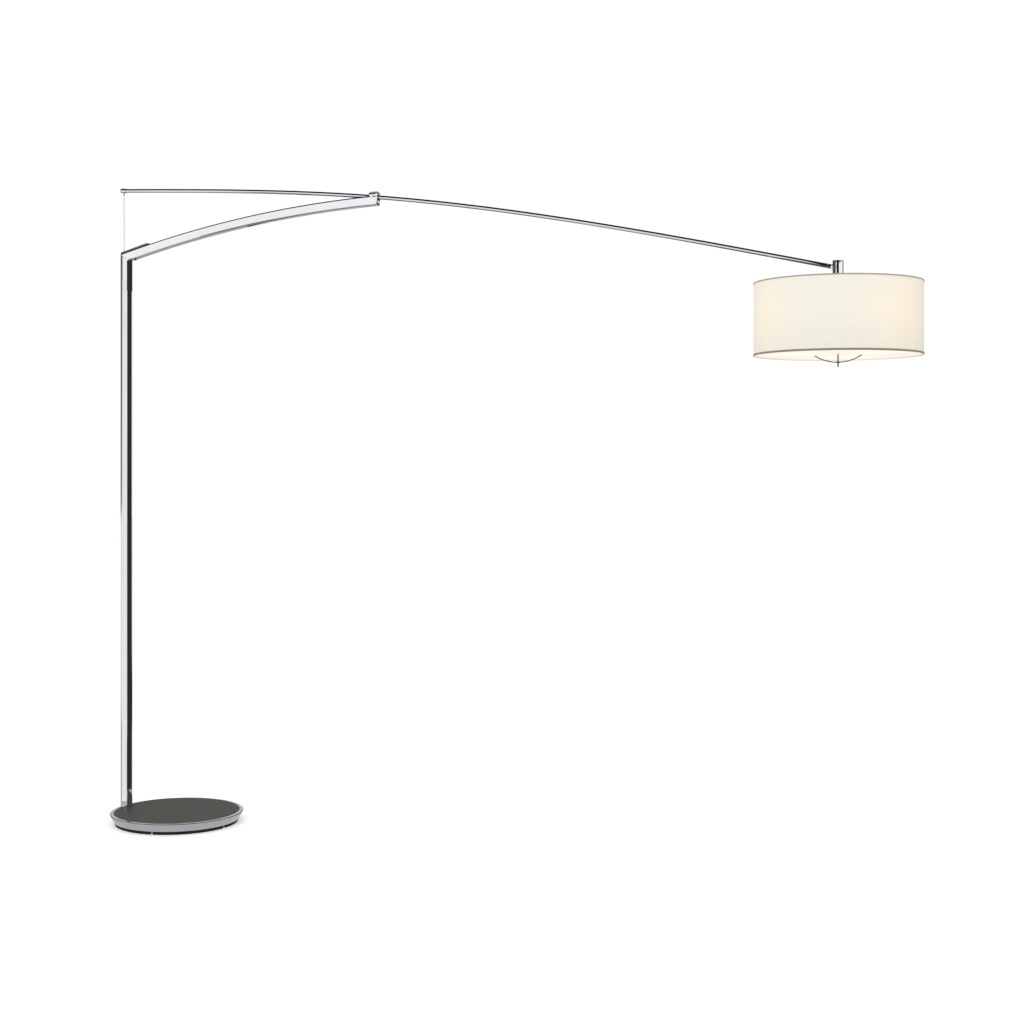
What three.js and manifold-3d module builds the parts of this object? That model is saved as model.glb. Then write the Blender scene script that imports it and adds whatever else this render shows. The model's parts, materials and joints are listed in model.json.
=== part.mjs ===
// Adjustable arm floor lamp. A long thin boom rests in a fork at the end of a curved arm. A steel cable ties
// its rear end to a counterweight that slides inside the post, and a drum shade hangs from its front end.
// Millimetres, +Z up. The origin is on the floor at the centre of the base, and +X points to the shade.
import * as THREE from "three";
import { mergeVertices } from "three/addons/utils/BufferGeometryUtils.js";
import Module from "manifold-3d";

const GAP = 0.3; // between touching pieces
const RAD = Math.PI / 180;

// Base
const BASE_RADIUS = 218; // rim, at its widest
const BASE_HEIGHT = 37; // floor to the top of the rim
const RIM_TAPER = 14; // the rim is this much smaller in radius at its lower edge
const RIM_LAND = 13; // width of the flat chrome ring round the cover
const RIM_WALL = 2;
const RIM_EDGE = 1.6; // rounding of the rim's outer edge
const RIM_FLOOR_GAP = 10.6; // floor to the rim's lower edge
const COVER_THICK = 3.4;
const COVER_RECESS = 0.4; // the cover lies this much below the rim
const PAD_INSET = 4; // the pad's wall behind the rim's lower edge
const GLIDE_COUNT = 5;
const GLIDE_RADIUS = 5.4;
const GLIDE_HEIGHT = 5;
const GLIDE_STEM_RADIUS = 3;
const GLIDE_STEM = 14; // above the glide's foot
const GLIDE_ANGLE = -82; // direction of the first glide, degrees
const GLIDE_PROUD = 1.5; // each glide stands out of the pad's wall
const GLAND_ANGLE = 150; // direction of the lead gland, degrees
const GLAND_RADIUS = 6;
const GLAND_FLANGE = 9;
const GLAND_BORE = 3.2;

// Post and arm: one square tube, mitred at the corner
const TUBE = 31; // outside width
const TUBE_WALL = 2;
const TUBE_CORNER = 5; // outside rounding
const POST_INSET = 23; // post's axis inside the base's edge
const POST_OFFSET = BASE_RADIUS - POST_INSET; // centre of the base to the post's axis
const CORNER_HEIGHT = 1879.7; // floor to where the axes of post and arm meet
const ARM_REACH = 926; // post axis to the arm's end
const ARM_START_SLOPE = 15.4 * RAD;
const ARM_END_SLOPE = 2 * RAD;
const BLOCK_HEIGHT = 45; // steel block in the foot of the post
const BOLT_RADIUS = 5;
const BOLT_HEAD_RADIUS = 8;
const BOLT_HEAD = 8;
const BOLT_GRIP = 25; // thread in the foot block
const BOLT_INSET = 6; // bolt axis from the post's axis, towards the centre of the base
const WASHER_RADIUS = 9.6;
const WASHER_THICK = 2;

// Cable guide on the corner
const PLATE_THICK = 5;
const PLATE_REACH = 88; // the plate's far end from the post's axis
const PLATE_WIDTH = 27;
const PLATE_SCREW_RADIUS = 1.8;
const PLATE_SCREW_HEAD = 3.4;
const CABLE_INSET = 6; // cable in front of the post's rear face
const CABLE_OFFSET = TUBE / 2 - CABLE_INSET; // cable behind the post's axis
const CABLE_RADIUS = 1;
const BUSH_RADIUS = 3.6;
const BUSH_FLANGE = 5;
const BUSH_FLANGE_THICK = 1.6;
const BUSH_DEPTH = 9; // below the plate's underside

// Fork at the arm's end
const PIVOT_INSET = 14; // boom's pivot behind the arm's end
const PIVOT_RISE = 13; // pivot above the arm's axis
const FORK_BACK = 12; // fork behind the pivot
const FORK_FRONT = 17; // fork in front of it
const FORK_TOP = 12; // top of the cheeks above the pivot
const FORK_FLOOR = 13.2; // slot's floor below the pivot
const FORK_PLAY = 0.4; // beside the collar, at each cheek
const FORK_CAP = 3.4;
const ARM_SLOT_LENGTH = 290; // opening in the arm's top wall, behind the fork
const PIVOT_SCREW_RADIUS = 3;
const PIVOT_SCREW_HEAD = 4.6;
const PIVOT_SCREW_HEAD_THICK = 1.8;

// Boom: a thin tube, bent by the load at both its ends
const BOOM_RADIUS = 6.5;
const BOOM_WALL = 1.8;
const BOOM_BORE = BOOM_RADIUS - BOOM_WALL;
const BOOM_SLOPE = 7 * RAD; // downwards, at the pivot
const BOOM_BEND_RADIUS = 6800; // tightest, at the pivot
const BOOM_FRONT = 1462; // pivot to the head's pin
const PIVOT_REACH = ARM_REACH - PIVOT_INSET; // post axis to the pivot
const BOOM_REAR = PIVOT_REACH + CABLE_OFFSET; // pivot to the cable
const COLLAR_WALL = 2.8;
const COLLAR_RADIUS = BOOM_RADIUS + COLLAR_WALL;
const FORK_SLOT = 2 * (COLLAR_RADIUS + FORK_PLAY);
const COLLAR_LENGTH = 18;
const COLLAR_SCREW_DEPTH = 1.9; // how far the pivot screws enter it
const CAP_WALL = 1.2;
const CAP_RADIUS = BOOM_RADIUS + CAP_WALL;
const CAP_BEHIND = 11.5; // end cap behind the cable
const CAP_AHEAD = 9.5; // end cap in front of the cable
const FERRULE_RADIUS = 2.4;
const FERRULE_LENGTH = 15;
const TONGUE_THICK = 8;
const TONGUE_HALF = 6; // half its height, and its rounded end
const TIP_LENGTH = 30; // tube's end to the head's pin
const TIP_DROP = 9.5; // hole for the lead behind the pin

// Counterweight in the post
const WEIGHT_TOP = 1540; // floor to the top of the bar
const WEIGHT_LENGTH = 900;
const WEIGHT_PLAY = 1.5; // between the bar and the post's wall, along X
const WEIGHT_WIDTH = TUBE - 2 * TUBE_WALL - 2 * WEIGHT_PLAY; // along X
const WEIGHT_DEPTH = 17; // along Y
const SLIDER_DEPTH = 18.4;
const SLIDER_HEIGHT = 14;
const SLIDER_PLAY = 0.5; // between a slider and the tube
const ANCHOR_RADIUS = 2.8;
const ANCHOR_HEIGHT = 12;
const ANCHOR_STEM = 1.6;

// Head
const HEAD_RADIUS = 16;
const HEAD_WALL = 2.5;
const HEAD_ABOVE = 21; // top of the head above its pin
const HEAD_BELOW = 49; // lower edge of the head's tube below the pin
const HEAD_CAP = 2;
const HEAD_PIN_RADIUS = 3;
const HEAD_PIN_PROUD = 0.8;
const SLOT_UNDER = 9; // slot for the boom, below and above the pin
const SLOT_OVER = 16;
const STEM_RADIUS = 6;
const STEM_BORE = 3.1;
const STEM_PLUG = 12;

// Shade and lamps, measured down from the head's pin
const SHADE_RADIUS = 240;
const SHADE_HEIGHT = 210;
const SHADE_TOP_DROP = 42;
const SHADE_WALL = 1.6;
const TOP_TRIM = 4;
const BOTTOM_TRIM = 5.5;
const TRIM_THICK = 0.9;
const WIRE_RADIUS = 2; // shade rings and spokes
const LAMP_COUNT = 3; // each lamp has a spoke above it
const LAMP_ANGLE = 90; // direction of the first lamp, degrees
const SPIDER_HUB_INSET = 2; // inside the head's wall
const SPIDER_HUB = HEAD_RADIUS - SPIDER_HUB_INSET;
const SPIDER_HUB_HEIGHT = 5;
const LAMP_DROP = 145; // pin to the lamps' axis
const HUB_RADIUS = 22;
const HUB_HEIGHT = 42;
const HOLDER_RADIUS = 18;
const HOLDER_LENGTH = 46;
const BULB_RADIUS = 30;
const BULB_LENGTH = 104;
const BULB_NECK = 13;
const DIFFUSER_THICK = 3;
const DIFFUSER_INSET = 3; // above the shade's lower edge
const DIFFUSER_PLAY = 3.5; // round its edge
const TIE_ROD_RADIUS = 2.5;
const BOW_HALF = 67; // half the span of the bow under the diffuser
const BOW_SAG = 20;
const BOW_WIRE = 1.5;
const BOW_EYE = 4.5;
const BOW_EYE_HEIGHT = 5;
const FINIAL_RADIUS = 2.4;
const FINIAL_LENGTH = 11;

// Leads held inside the lamp
const LEAD_RADIUS = 2.2;
const LEAD_SIDE = 9.8; // lead beside the counterweight, off the middle plane
const LEAD_ENTRY = 26; // hole in the boom behind its pivot
const LEAD_STOP = 6.3; // the lead stops short of the gland's sleeve
const GROOVE_WIDTH = 9; // channel for the lead in the ballast
const GROOVE_TOP = 27;
const GROOVE_LEAD = 20; // height of the lead in the channel

// Sizes that follow from the ones above
const TUBE_INNER = TUBE / 2 - TUBE_WALL; // half the width inside
const RIM_LOW_RADIUS = BASE_RADIUS - RIM_TAPER;
const COVER_TOP = BASE_HEIGHT - COVER_RECESS;
const COVER_UNDER = COVER_TOP - COVER_THICK;
const COVER_RADIUS = BASE_RADIUS - RIM_LAND - GAP;
const BALLAST_TOP = COVER_UNDER - GAP;
const BALLAST_UNDER = RIM_FLOOR_GAP + 0.6;
const PAD_RADIUS = RIM_LOW_RADIUS - PAD_INSET;
const GLIDE_CIRCLE = PAD_RADIUS + GLIDE_PROUD - GLIDE_RADIUS;
const ARM_RADIUS = ARM_REACH / (Math.sin(ARM_START_SLOPE) - Math.sin(ARM_END_SLOPE));
const ARM_LENGTH = ARM_RADIUS * (ARM_START_SLOPE - ARM_END_SLOPE);
const PIVOT_HEIGHT = CORNER_HEIGHT + armHeight(PIVOT_REACH) + PIVOT_RISE;
const HEAD_PIN = { x: BOOM_FRONT, z: boomHeight(BOOM_FRONT) }; // from the pivot
const TIP_SLOPE = boomSlope(BOOM_FRONT);
const SHADE_BOTTOM = -SHADE_TOP_DROP - SHADE_HEIGHT; // from the head's pin
const DIFFUSER_UNDER = SHADE_BOTTOM + DIFFUSER_INSET;
const BOW_RADIUS = (BOW_HALF ** 2 + BOW_SAG ** 2) / (2 * BOW_SAG);
const BOW_TOP = DIFFUSER_UNDER - GAP - BOW_WIRE;
const BOW_LOW = BOW_TOP - BOW_SAG;

const wasm = await Module();
wasm.setup();

const chrome = new THREE.MeshStandardMaterial({ color: 0xd9dbde, metalness: 1, roughness: 0.06 });
const satinChrome = new THREE.MeshStandardMaterial({ color: 0xb4b7b9, metalness: 1, roughness: 0.22 });
const darkMetal = new THREE.MeshStandardMaterial({ color: 0x55564c, metalness: 0.8, roughness: 0.4 });
const steel = new THREE.MeshStandardMaterial({ color: 0x8d8f91, metalness: 1, roughness: 0.45 });
const iron = new THREE.MeshStandardMaterial({ color: 0x3a3a3b, metalness: 0.7, roughness: 0.7 });
const coverLeather = new THREE.MeshStandardMaterial({ color: 0x454541, roughness: 0.72 });
const blackRubber = new THREE.MeshStandardMaterial({ color: 0x141414, roughness: 0.85 });
const clearRubber = new THREE.MeshStandardMaterial({ color: 0xc9cccb, roughness: 0.5 });
const nylon = new THREE.MeshStandardMaterial({ color: 0xe6e3da, roughness: 0.55 });
const leadSheath = new THREE.MeshStandardMaterial({ color: 0x1b1b1c, roughness: 0.6 });
const shadeFabric = new THREE.MeshStandardMaterial({ color: 0xf6ecd8, roughness: 0.9, emissive: 0x55503f });
const shadeTrim = new THREE.MeshStandardMaterial({ color: 0x8f8672, roughness: 0.8 });
const opal = new THREE.MeshStandardMaterial({ color: 0xfffdf6, roughness: 0.4, emissive: 0x776f5c });
const porcelain = new THREE.MeshStandardMaterial({ color: 0xf1f1ee, roughness: 0.35 });
const bulbGlass = new THREE.MeshStandardMaterial({ color: 0xffe7c2, roughness: 0.2, emissive: 0xffc880 });

// Height of the arm's axis above the corner, at distance x from the post's axis.
function armHeight(x) {
  if (x < 0) return x * Math.tan(ARM_START_SLOPE);
  const slope = Math.asin(Math.sin(ARM_START_SLOPE) - x / ARM_RADIUS);
  return ARM_RADIUS * (Math.cos(slope) - Math.cos(ARM_START_SLOPE));
}

// The boom bends like a beam: its curvature is greatest at the pivot and falls to nothing at the loads.
function boomHeight(x) {
  const span = x < 0 ? BOOM_REAR : BOOM_FRONT;
  const run = Math.abs(x);
  const bend = (run ** 2 / 2 - run ** 3 / (6 * span)) / BOOM_BEND_RADIUS;
  return -x * Math.tan(BOOM_SLOPE) - bend;
}

// The boom's angle below the horizontal, at distance x from its pivot.
function boomSlope(x) {
  const step = 0.5;
  return Math.atan2(boomHeight(x - step) - boomHeight(x + step), 2 * step);
}

// A closed geometry as a solid that can be cut and joined, with its faces outwards.
function solid(geometry) {
  const bare = new THREE.BufferGeometry();
  bare.setAttribute("position", geometry.getAttribute("position"));
  if (geometry.index) bare.setIndex(geometry.index);
  const merged = mergeVertices(bare, 1e-3);
  const triVerts = new Uint32Array(merged.index.array);
  const vertProperties = merged.attributes.position.array;
  const made = new wasm.Manifold(new wasm.Mesh({ numProp: 3, vertProperties, triVerts }));
  if (made.volume() > 0) return made;
  const turned = triVerts.map((v, i) => (i % 3 === 0 ? v : triVerts[i % 3 === 1 ? i + 1 : i - 1]));
  return new wasm.Manifold(new wasm.Mesh({ numProp: 3, vertProperties, triVerts: turned }));
}

function cut(body, ...tools) {
  return tools.reduce((left, tool) => left.subtract(solid(tool)), solid(body));
}

function join(...pieces) {
  return pieces.map(solid).reduce((whole, piece) => whole.add(piece));
}

function geometryOf(made) {
  const { vertProperties, numProp, triVerts, numVert } = made.getMesh();
  const position = new Float32Array(numVert * 3);
  for (let i = 0; i < numVert; i++) {
    position.set(vertProperties.subarray(i * numProp, i * numProp + 3), i * 3);
  }
  const geometry = new THREE.BufferGeometry();
  geometry.setAttribute("position", new THREE.BufferAttribute(position, 3));
  geometry.setIndex(new THREE.BufferAttribute(new Uint32Array(triVerts), 1));
  geometry.computeVertexNormals();
  return geometry;
}

// Adds a named mesh to a group, from a geometry or from a cut solid.
function addPart(group, name, shape, material, [x, y, z] = [0, 0, 0]) {
  const geometry = geometryOf(shape.isBufferGeometry ? solid(shape) : shape);
  const mesh = new THREE.Mesh(geometry, material);
  mesh.name = name;
  mesh.position.set(x, y, z);
  group.add(mesh);
  return mesh;
}

// An upright cylinder between two heights.
function rod(radius, low, high, sides = 16, [x, y] = [0, 0]) {
  const geometry = new THREE.CylinderGeometry(radius, radius, high - low, sides);
  return geometry.rotateX(Math.PI / 2).translate(x, y, (low + high) / 2);
}

// A cylinder along Y.
function crossRod(radius, near, far, sides = 16, [x, z] = [0, 0]) {
  const geometry = new THREE.CylinderGeometry(radius, radius, Math.abs(far - near), sides);
  return geometry.translate(x, (near + far) / 2, z);
}

// A cylinder along X.
function longRod(radius, back, front, sides = 16) {
  const geometry = new THREE.CylinderGeometry(radius, radius, front - back, sides);
  return geometry.rotateZ(-Math.PI / 2).translate((back + front) / 2, 0, 0);
}

// A box between two corners.
function block([x0, y0, z0], [x1, y1, z1]) {
  const geometry = new THREE.BoxGeometry(x1 - x0, y1 - y0, z1 - z0);
  return geometry.translate((x0 + x1) / 2, (y0 + y1) / 2, (z0 + z1) / 2);
}

// A turned piece: profile of [radius, height], on the axis or closed on itself.
function turned(profile, sides = 48) {
  const points = profile.map(([r, z]) => new THREE.Vector2(r, z));
  if (profile[0][0] > 0) points.push(points[0].clone());
  return new THREE.LatheGeometry(points, sides).rotateX(Math.PI / 2);
}

function roundedOutline(width, depth, corner, PathType = THREE.Shape) {
  const x = width / 2 - corner;
  const y = depth / 2 - corner;
  const outline = new PathType();
  outline.absarc(x, y, corner, 0, Math.PI / 2);
  outline.absarc(-x, y, corner, Math.PI / 2, Math.PI);
  outline.absarc(-x, -y, corner, Math.PI, 1.5 * Math.PI);
  outline.absarc(x, -y, corner, 1.5 * Math.PI, 2 * Math.PI);
  return outline;
}

function roundOutline(radius, PathType = THREE.Shape) {
  const outline = new PathType();
  outline.absarc(0, 0, radius, 0, 2 * Math.PI);
  return outline;
}

// An upright prism of an outline, between two heights.
function prism(outline, low, high, curveSegments = 2) {
  const geometry = new THREE.ExtrudeGeometry(outline, { depth: high - low, bevelEnabled: false, curveSegments });
  return geometry.translate(0, 0, low);
}

// A plate with a side outline of [x, z] points, centred across Y.
function sidePlate(points, width) {
  const outline = new THREE.Shape(points.map(([x, z]) => new THREE.Vector2(x, z)));
  const geometry = new THREE.ExtrudeGeometry(outline, { depth: width, bevelEnabled: false });
  return geometry.rotateX(Math.PI / 2).translate(0, width / 2, 0);
}

function sweep(outline, extrudePath, steps, curveSegments) {
  return new THREE.ExtrudeGeometry(outline, { extrudePath, steps, curveSegments });
}

// A curve in the middle plane, from a function of one length.
class PlaneCurve extends THREE.Curve {
  constructor(start, end, pointAt) {
    super();
    this.start = start;
    this.end = end;
    this.pointAt = pointAt;
  }
  getPoint(t, target = new THREE.Vector3()) {
    const [x, z] = this.pointAt(this.start + (this.end - this.start) * t);
    return target.set(x, 0, z);
  }
}

// A smooth curve through points, with as many steps between any two of them.
class Route extends THREE.CatmullRomCurve3 {
  constructor(points) {
    super(points.map((p) => new THREE.Vector3(...p)));
  }
  getUtoTmapping(u) {
    return u;
  }
}

function lead(points, stepsEach = 2) {
  return sweep(roundOutline(LEAD_RADIUS), new Route(points), (points.length - 1) * stepsEach, 3);
}

function tubeOutline() {
  const outline = roundedOutline(TUBE, TUBE, TUBE_CORNER);
  outline.holes.push(roundedOutline(2 * TUBE_INNER, 2 * TUBE_INNER, TUBE_CORNER - TUBE_WALL, THREE.Path));
  return outline;
}

// A large block on one side of the mitre plane through the corner, in the mast's frame. side +1 covers the
// arm's side and -1 the post's side.
function mitreBlock(side) {
  const size = 6 * TUBE;
  const box = new THREE.BoxGeometry(size, size, size);
  box.translate(0, 0, side * (size / 2 - GAP / 2));
  const tilt = Math.atan2(Math.cos(ARM_START_SLOPE), 1 + Math.sin(ARM_START_SLOPE));
  return box.rotateY(tilt).translate(0, 0, CORNER_HEIGHT);
}

// Top of the arm's straight start and of the guide plate on it, at x from the post's axis.
function cornerTop(x) {
  return CORNER_HEIGHT + x * Math.tan(ARM_START_SLOPE) + TUBE / 2 / Math.cos(ARM_START_SLOPE);
}

function plateTop(x) {
  return cornerTop(x) + GAP + PLATE_THICK / Math.cos(ARM_START_SLOPE);
}

function polar(radius, degrees) {
  return [radius * Math.cos(degrees * RAD), radius * Math.sin(degrees * RAD)];
}

// ---- Base ----

const rimSlope = RIM_TAPER / (BASE_HEIGHT - RIM_EDGE - RIM_FLOOR_GAP);
const glandHeight = GROOVE_LEAD;
const glandFace = RIM_LOW_RADIUS + rimSlope * (glandHeight - RIM_FLOOR_GAP);
const glandInner = glandFace - 26;

// A cylinder along the gland's direction, between two distances from the centre of the base.
function glandRod(radius, inner, outer) {
  const geometry = longRod(radius, inner, outer);
  return geometry.rotateZ(GLAND_ANGLE * RAD).translate(0, 0, glandHeight);
}

function postHole(low, high) {
  const size = TUBE + 3 * GAP;
  return prism(roundedOutline(size, size, TUBE_CORNER), low, high).translate(-POST_OFFSET, 0, 0);
}

function glidePositions() {
  return Array.from({ length: GLIDE_COUNT }, (_, i) => polar(GLIDE_CIRCLE, GLIDE_ANGLE + (360 / GLIDE_COUNT) * i));
}

function ballast() {
  const side = RIM_LOW_RADIUS - RIM_WALL - GAP - 0.3;
  const height = BALLAST_TOP - BALLAST_UNDER;
  const disc = turned([
    [0, BALLAST_UNDER],
    [side, BALLAST_UNDER],
    [side + rimSlope * height, BALLAST_TOP],
    [0, BALLAST_TOP],
  ]);
  const bolt = [-POST_OFFSET + BOLT_INSET, 0];
  const seat = BALLAST_UNDER + BOLT_HEAD + WASHER_THICK + 3 * GAP;
  const [glandX, glandY] = polar(glandInner, GLAND_ANGLE);
  const start = [-POST_OFFSET, LEAD_SIDE];
  const run = Math.hypot(glandX - start[0], glandY - start[1]);
  const groove = block([-GROOVE_WIDTH / 2, -GROOVE_WIDTH / 2, 0], [run, GROOVE_WIDTH / 2, GROOVE_TOP]);
  groove.rotateZ(Math.atan2(glandY - start[1], glandX - start[0])).translate(...start, 0);
  const stemHoles = glidePositions().map((at) => {
    return rod(GLIDE_STEM_RADIUS + GAP, 0, GLIDE_HEIGHT + GLIDE_STEM + 2 * GAP, 10, at);
  });
  return cut(
    disc,
    rod(BOLT_RADIUS + GAP, 0, BASE_HEIGHT, 16, bolt),
    rod(WASHER_RADIUS + GAP, 0, seat, 20, bolt),
    rod(LEAD_RADIUS + 1, 0, BASE_HEIGHT, 12, start),
    groove,
    glandRod(GLAND_RADIUS + 1, glandInner - 8, BASE_RADIUS),
    ...stemHoles,
  );
}

function rim() {
  const shoulder = BASE_HEIGHT - RIM_EDGE;
  const under = COVER_UNDER;
  const inner = BASE_RADIUS - RIM_LAND;
  const ring = turned([
    [RIM_LOW_RADIUS, RIM_FLOOR_GAP],
    [BASE_RADIUS, shoulder],
    [BASE_RADIUS - RIM_EDGE * 0.3, BASE_HEIGHT - RIM_EDGE * 0.3],
    [BASE_RADIUS - RIM_EDGE, BASE_HEIGHT],
    [inner, BASE_HEIGHT],
    [inner, under],
    [RIM_LOW_RADIUS - RIM_WALL + rimSlope * (under - RIM_FLOOR_GAP), under],
    [RIM_LOW_RADIUS - RIM_WALL, RIM_FLOOR_GAP],
  ]);
  return cut(
    ring,
    postHole(COVER_UNDER - 1, BASE_HEIGHT + 1),
    glandRod(GLAND_RADIUS + GAP, glandInner, BASE_RADIUS + 5),
  );
}

function cover() {
  const disc = turned([[0, COVER_UNDER], [COVER_RADIUS, COVER_UNDER], [COVER_RADIUS, COVER_TOP], [0, COVER_TOP]]);
  return cut(disc, postHole(0, BASE_HEIGHT + 1));
}

function basePad() {
  const top = BALLAST_UNDER - GAP;
  const disc = turned([[0, 0], [PAD_RADIUS, 0], [PAD_RADIUS, top], [0, top]]);
  return cut(disc, ...glidePositions().map((at) => rod(GLIDE_RADIUS + GAP, -1, BASE_HEIGHT, 12, at)));
}

function glide() {
  return turned([
    [0, 0],
    [GLIDE_RADIUS, 0],
    [GLIDE_RADIUS, GLIDE_HEIGHT],
    [GLIDE_STEM_RADIUS, GLIDE_HEIGHT],
    [GLIDE_STEM_RADIUS, GLIDE_HEIGHT + GLIDE_STEM],
    [0, GLIDE_HEIGHT + GLIDE_STEM],
  ], 12);
}

function footBlock() {
  const size = 2 * (TUBE_INNER - GAP);
  const body = prism(roundedOutline(size, size, TUBE_CORNER - TUBE_WALL), 0, BLOCK_HEIGHT);
  const notch = LEAD_RADIUS + 1;
  return cut(
    body,
    rod(BOLT_RADIUS + GAP, -1, BOLT_GRIP + 1, 16, [BOLT_INSET, 0]),
    block([-notch, LEAD_SIDE - notch, -1], [notch, TUBE, BLOCK_HEIGHT + 1]),
  );
}

function postBolt() {
  const head = BALLAST_UNDER + GAP;
  const under = head + BOLT_HEAD;
  const body = join(
    rod(BOLT_HEAD_RADIUS, head, under, 16),
    rod(BOLT_RADIUS, under - 1, BALLAST_TOP + GAP + BOLT_GRIP, 12),
  );
  return body.subtract(solid(rod(BOLT_HEAD_RADIUS / 2, head - 1, head + BOLT_HEAD / 2, 6)));
}

function washer() {
  const low = BALLAST_UNDER + BOLT_HEAD + 2 * GAP;
  const inner = BOLT_RADIUS + GAP;
  const high = low + WASHER_THICK;
  return turned([[inner, low], [WASHER_RADIUS, low], [WASHER_RADIUS, high], [inner, high]], 20);
}

function leadGland() {
  const seat = glandFace + rimSlope * GLAND_FLANGE + 2 * GAP; // clear of the rim's sloping wall
  const nose = seat + 5;
  const sleeve = turned([
    [GLAND_BORE, glandInner],
    [GLAND_RADIUS, glandInner],
    [GLAND_RADIUS, seat],
    [GLAND_FLANGE, seat],
    [GLAND_FLANGE, seat + 2.2],
    [GLAND_RADIUS, nose],
    [GLAND_BORE, nose],
  ], 20);
  return sleeve.rotateY(Math.PI / 2).rotateZ(GLAND_ANGLE * RAD).translate(0, 0, glandHeight);
}

function makeBase() {
  const base = new THREE.Group();
  addPart(base, "base_ballast", ballast(), iron);
  addPart(base, "base_rim", rim(), satinChrome);
  addPart(base, "base_cover", cover(), coverLeather);
  addPart(base, "base_pad", basePad(), blackRubber);
  glidePositions().forEach(([x, y], i) => {
    addPart(base, `base_glide_${i + 1}`, glide(), clearRubber, [x, y, 0]);
  });
  addPart(base, "post_bolt", postBolt(), steel, [-POST_OFFSET + BOLT_INSET, 0, 0]);
  addPart(base, "post_bolt_washer", washer(), steel, [-POST_OFFSET + BOLT_INSET, 0, 0]);
  addPart(base, "lead_gland", leadGland(), blackRubber);
  return base;
}

// ---- Post, arm and fork, from the post's axis ----

function postTube() {
  const tall = prism(tubeOutline(), BALLAST_TOP + GAP, CORNER_HEIGHT + 2 * TUBE);
  return cut(tall, mitreBlock(1));
}

function armTube() {
  const lead = 2 * TUBE; // straight start, cut back to the mitre
  const path = new PlaneCurve(-lead, ARM_LENGTH, (s) => {
    if (s < 0) return [s * Math.cos(ARM_START_SLOPE), s * Math.sin(ARM_START_SLOPE)];
    const slope = ARM_START_SLOPE - s / ARM_RADIUS;
    const x = ARM_RADIUS * (Math.sin(ARM_START_SLOPE) - Math.sin(slope));
    return [x, ARM_RADIUS * (Math.cos(slope) - Math.cos(ARM_START_SLOPE))];
  });
  const tube = sweep(tubeOutline(), path, 14, 2).translate(0, 0, CORNER_HEIGHT);
  const pivotAxis = PIVOT_HEIGHT - PIVOT_RISE;
  const forkStart = PIVOT_REACH - FORK_BACK - 2 * GAP;
  const slotHalf = FORK_SLOT / 2;
  const screwAt = [PIVOT_REACH, PIVOT_HEIGHT];
  return cut(
    tube,
    mitreBlock(-1),
    rod(BUSH_RADIUS + GAP, CORNER_HEIGHT, CORNER_HEIGHT + 2 * TUBE, 12, [-CABLE_OFFSET, 0]),
    block([forkStart - ARM_SLOT_LENGTH, -slotHalf, pivotAxis - TUBE / 4], [ARM_REACH + TUBE, slotHalf, pivotAxis + TUBE]),
    block([forkStart, -TUBE_INNER, pivotAxis], [ARM_REACH + TUBE, TUBE_INNER, pivotAxis + TUBE]),
    crossRod(PIVOT_SCREW_RADIUS + GAP, -TUBE, TUBE, 12, screwAt),
    ...plateScrewPositions().map((x) => rod(PLATE_SCREW_RADIUS + GAP, CORNER_HEIGHT, cornerTop(x) + TUBE, 10, [x, 0])),
  );
}

function plateScrewPositions() {
  return [TUBE / 2, PLATE_REACH - TUBE / 3];
}

function guidePlate() {
  const back = -TUBE / 2;
  const lift = GAP / Math.cos(ARM_START_SLOPE);
  const plate = sidePlate([
    [back, cornerTop(back) + lift],
    [PLATE_REACH, cornerTop(PLATE_REACH) + lift],
    [PLATE_REACH, plateTop(PLATE_REACH) - 1],
    [PLATE_REACH - 1.5, plateTop(PLATE_REACH - 1.5)],
    [back + 1.5, plateTop(back + 1.5)],
    [back, plateTop(back) - 1],
  ], PLATE_WIDTH);
  return cut(
    plate,
    rod(BUSH_RADIUS + GAP, CORNER_HEIGHT, CORNER_HEIGHT + 2 * TUBE, 12, [-CABLE_OFFSET, 0]),
    ...plateScrewPositions().map((x) => rod(PLATE_SCREW_RADIUS + GAP, CORNER_HEIGHT, plateTop(x) + TUBE, 10, [x, 0])),
  );
}

function plateScrew(x) {
  const seat = plateTop(x) + GAP;
  const drop = PLATE_SCREW_HEAD * Math.tan(ARM_START_SLOPE);
  return turned([
    [0, seat - PLATE_THICK - 6],
    [PLATE_SCREW_RADIUS, seat - PLATE_THICK - 6],
    [PLATE_SCREW_RADIUS, seat + drop],
    [PLATE_SCREW_HEAD, seat + drop],
    [PLATE_SCREW_HEAD * 0.9, seat + drop + 1],
    [PLATE_SCREW_HEAD * 0.5, seat + drop + 1.6],
    [0, seat + drop + 1.8],
  ], 12);
}

function bushTop() {
  return plateTop(-CABLE_OFFSET) + BUSH_FLANGE * Math.tan(ARM_START_SLOPE) + GAP + BUSH_FLANGE_THICK;
}

function cableBush() {
  const top = bushTop();
  const bore = CABLE_RADIUS + GAP;
  const low = cornerTop(-CABLE_OFFSET) - BUSH_DEPTH;
  return turned([
    [bore, low],
    [BUSH_RADIUS, low],
    [BUSH_RADIUS, top - BUSH_FLANGE_THICK],
    [BUSH_FLANGE, top - BUSH_FLANGE_THICK],
    [BUSH_FLANGE, top - 0.5],
    [bore + 1.2, top],
    [bore, top - 0.9],
  ], 16);
}

function forkHalfWidth() {
  return TUBE_INNER - GAP;
}

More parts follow.
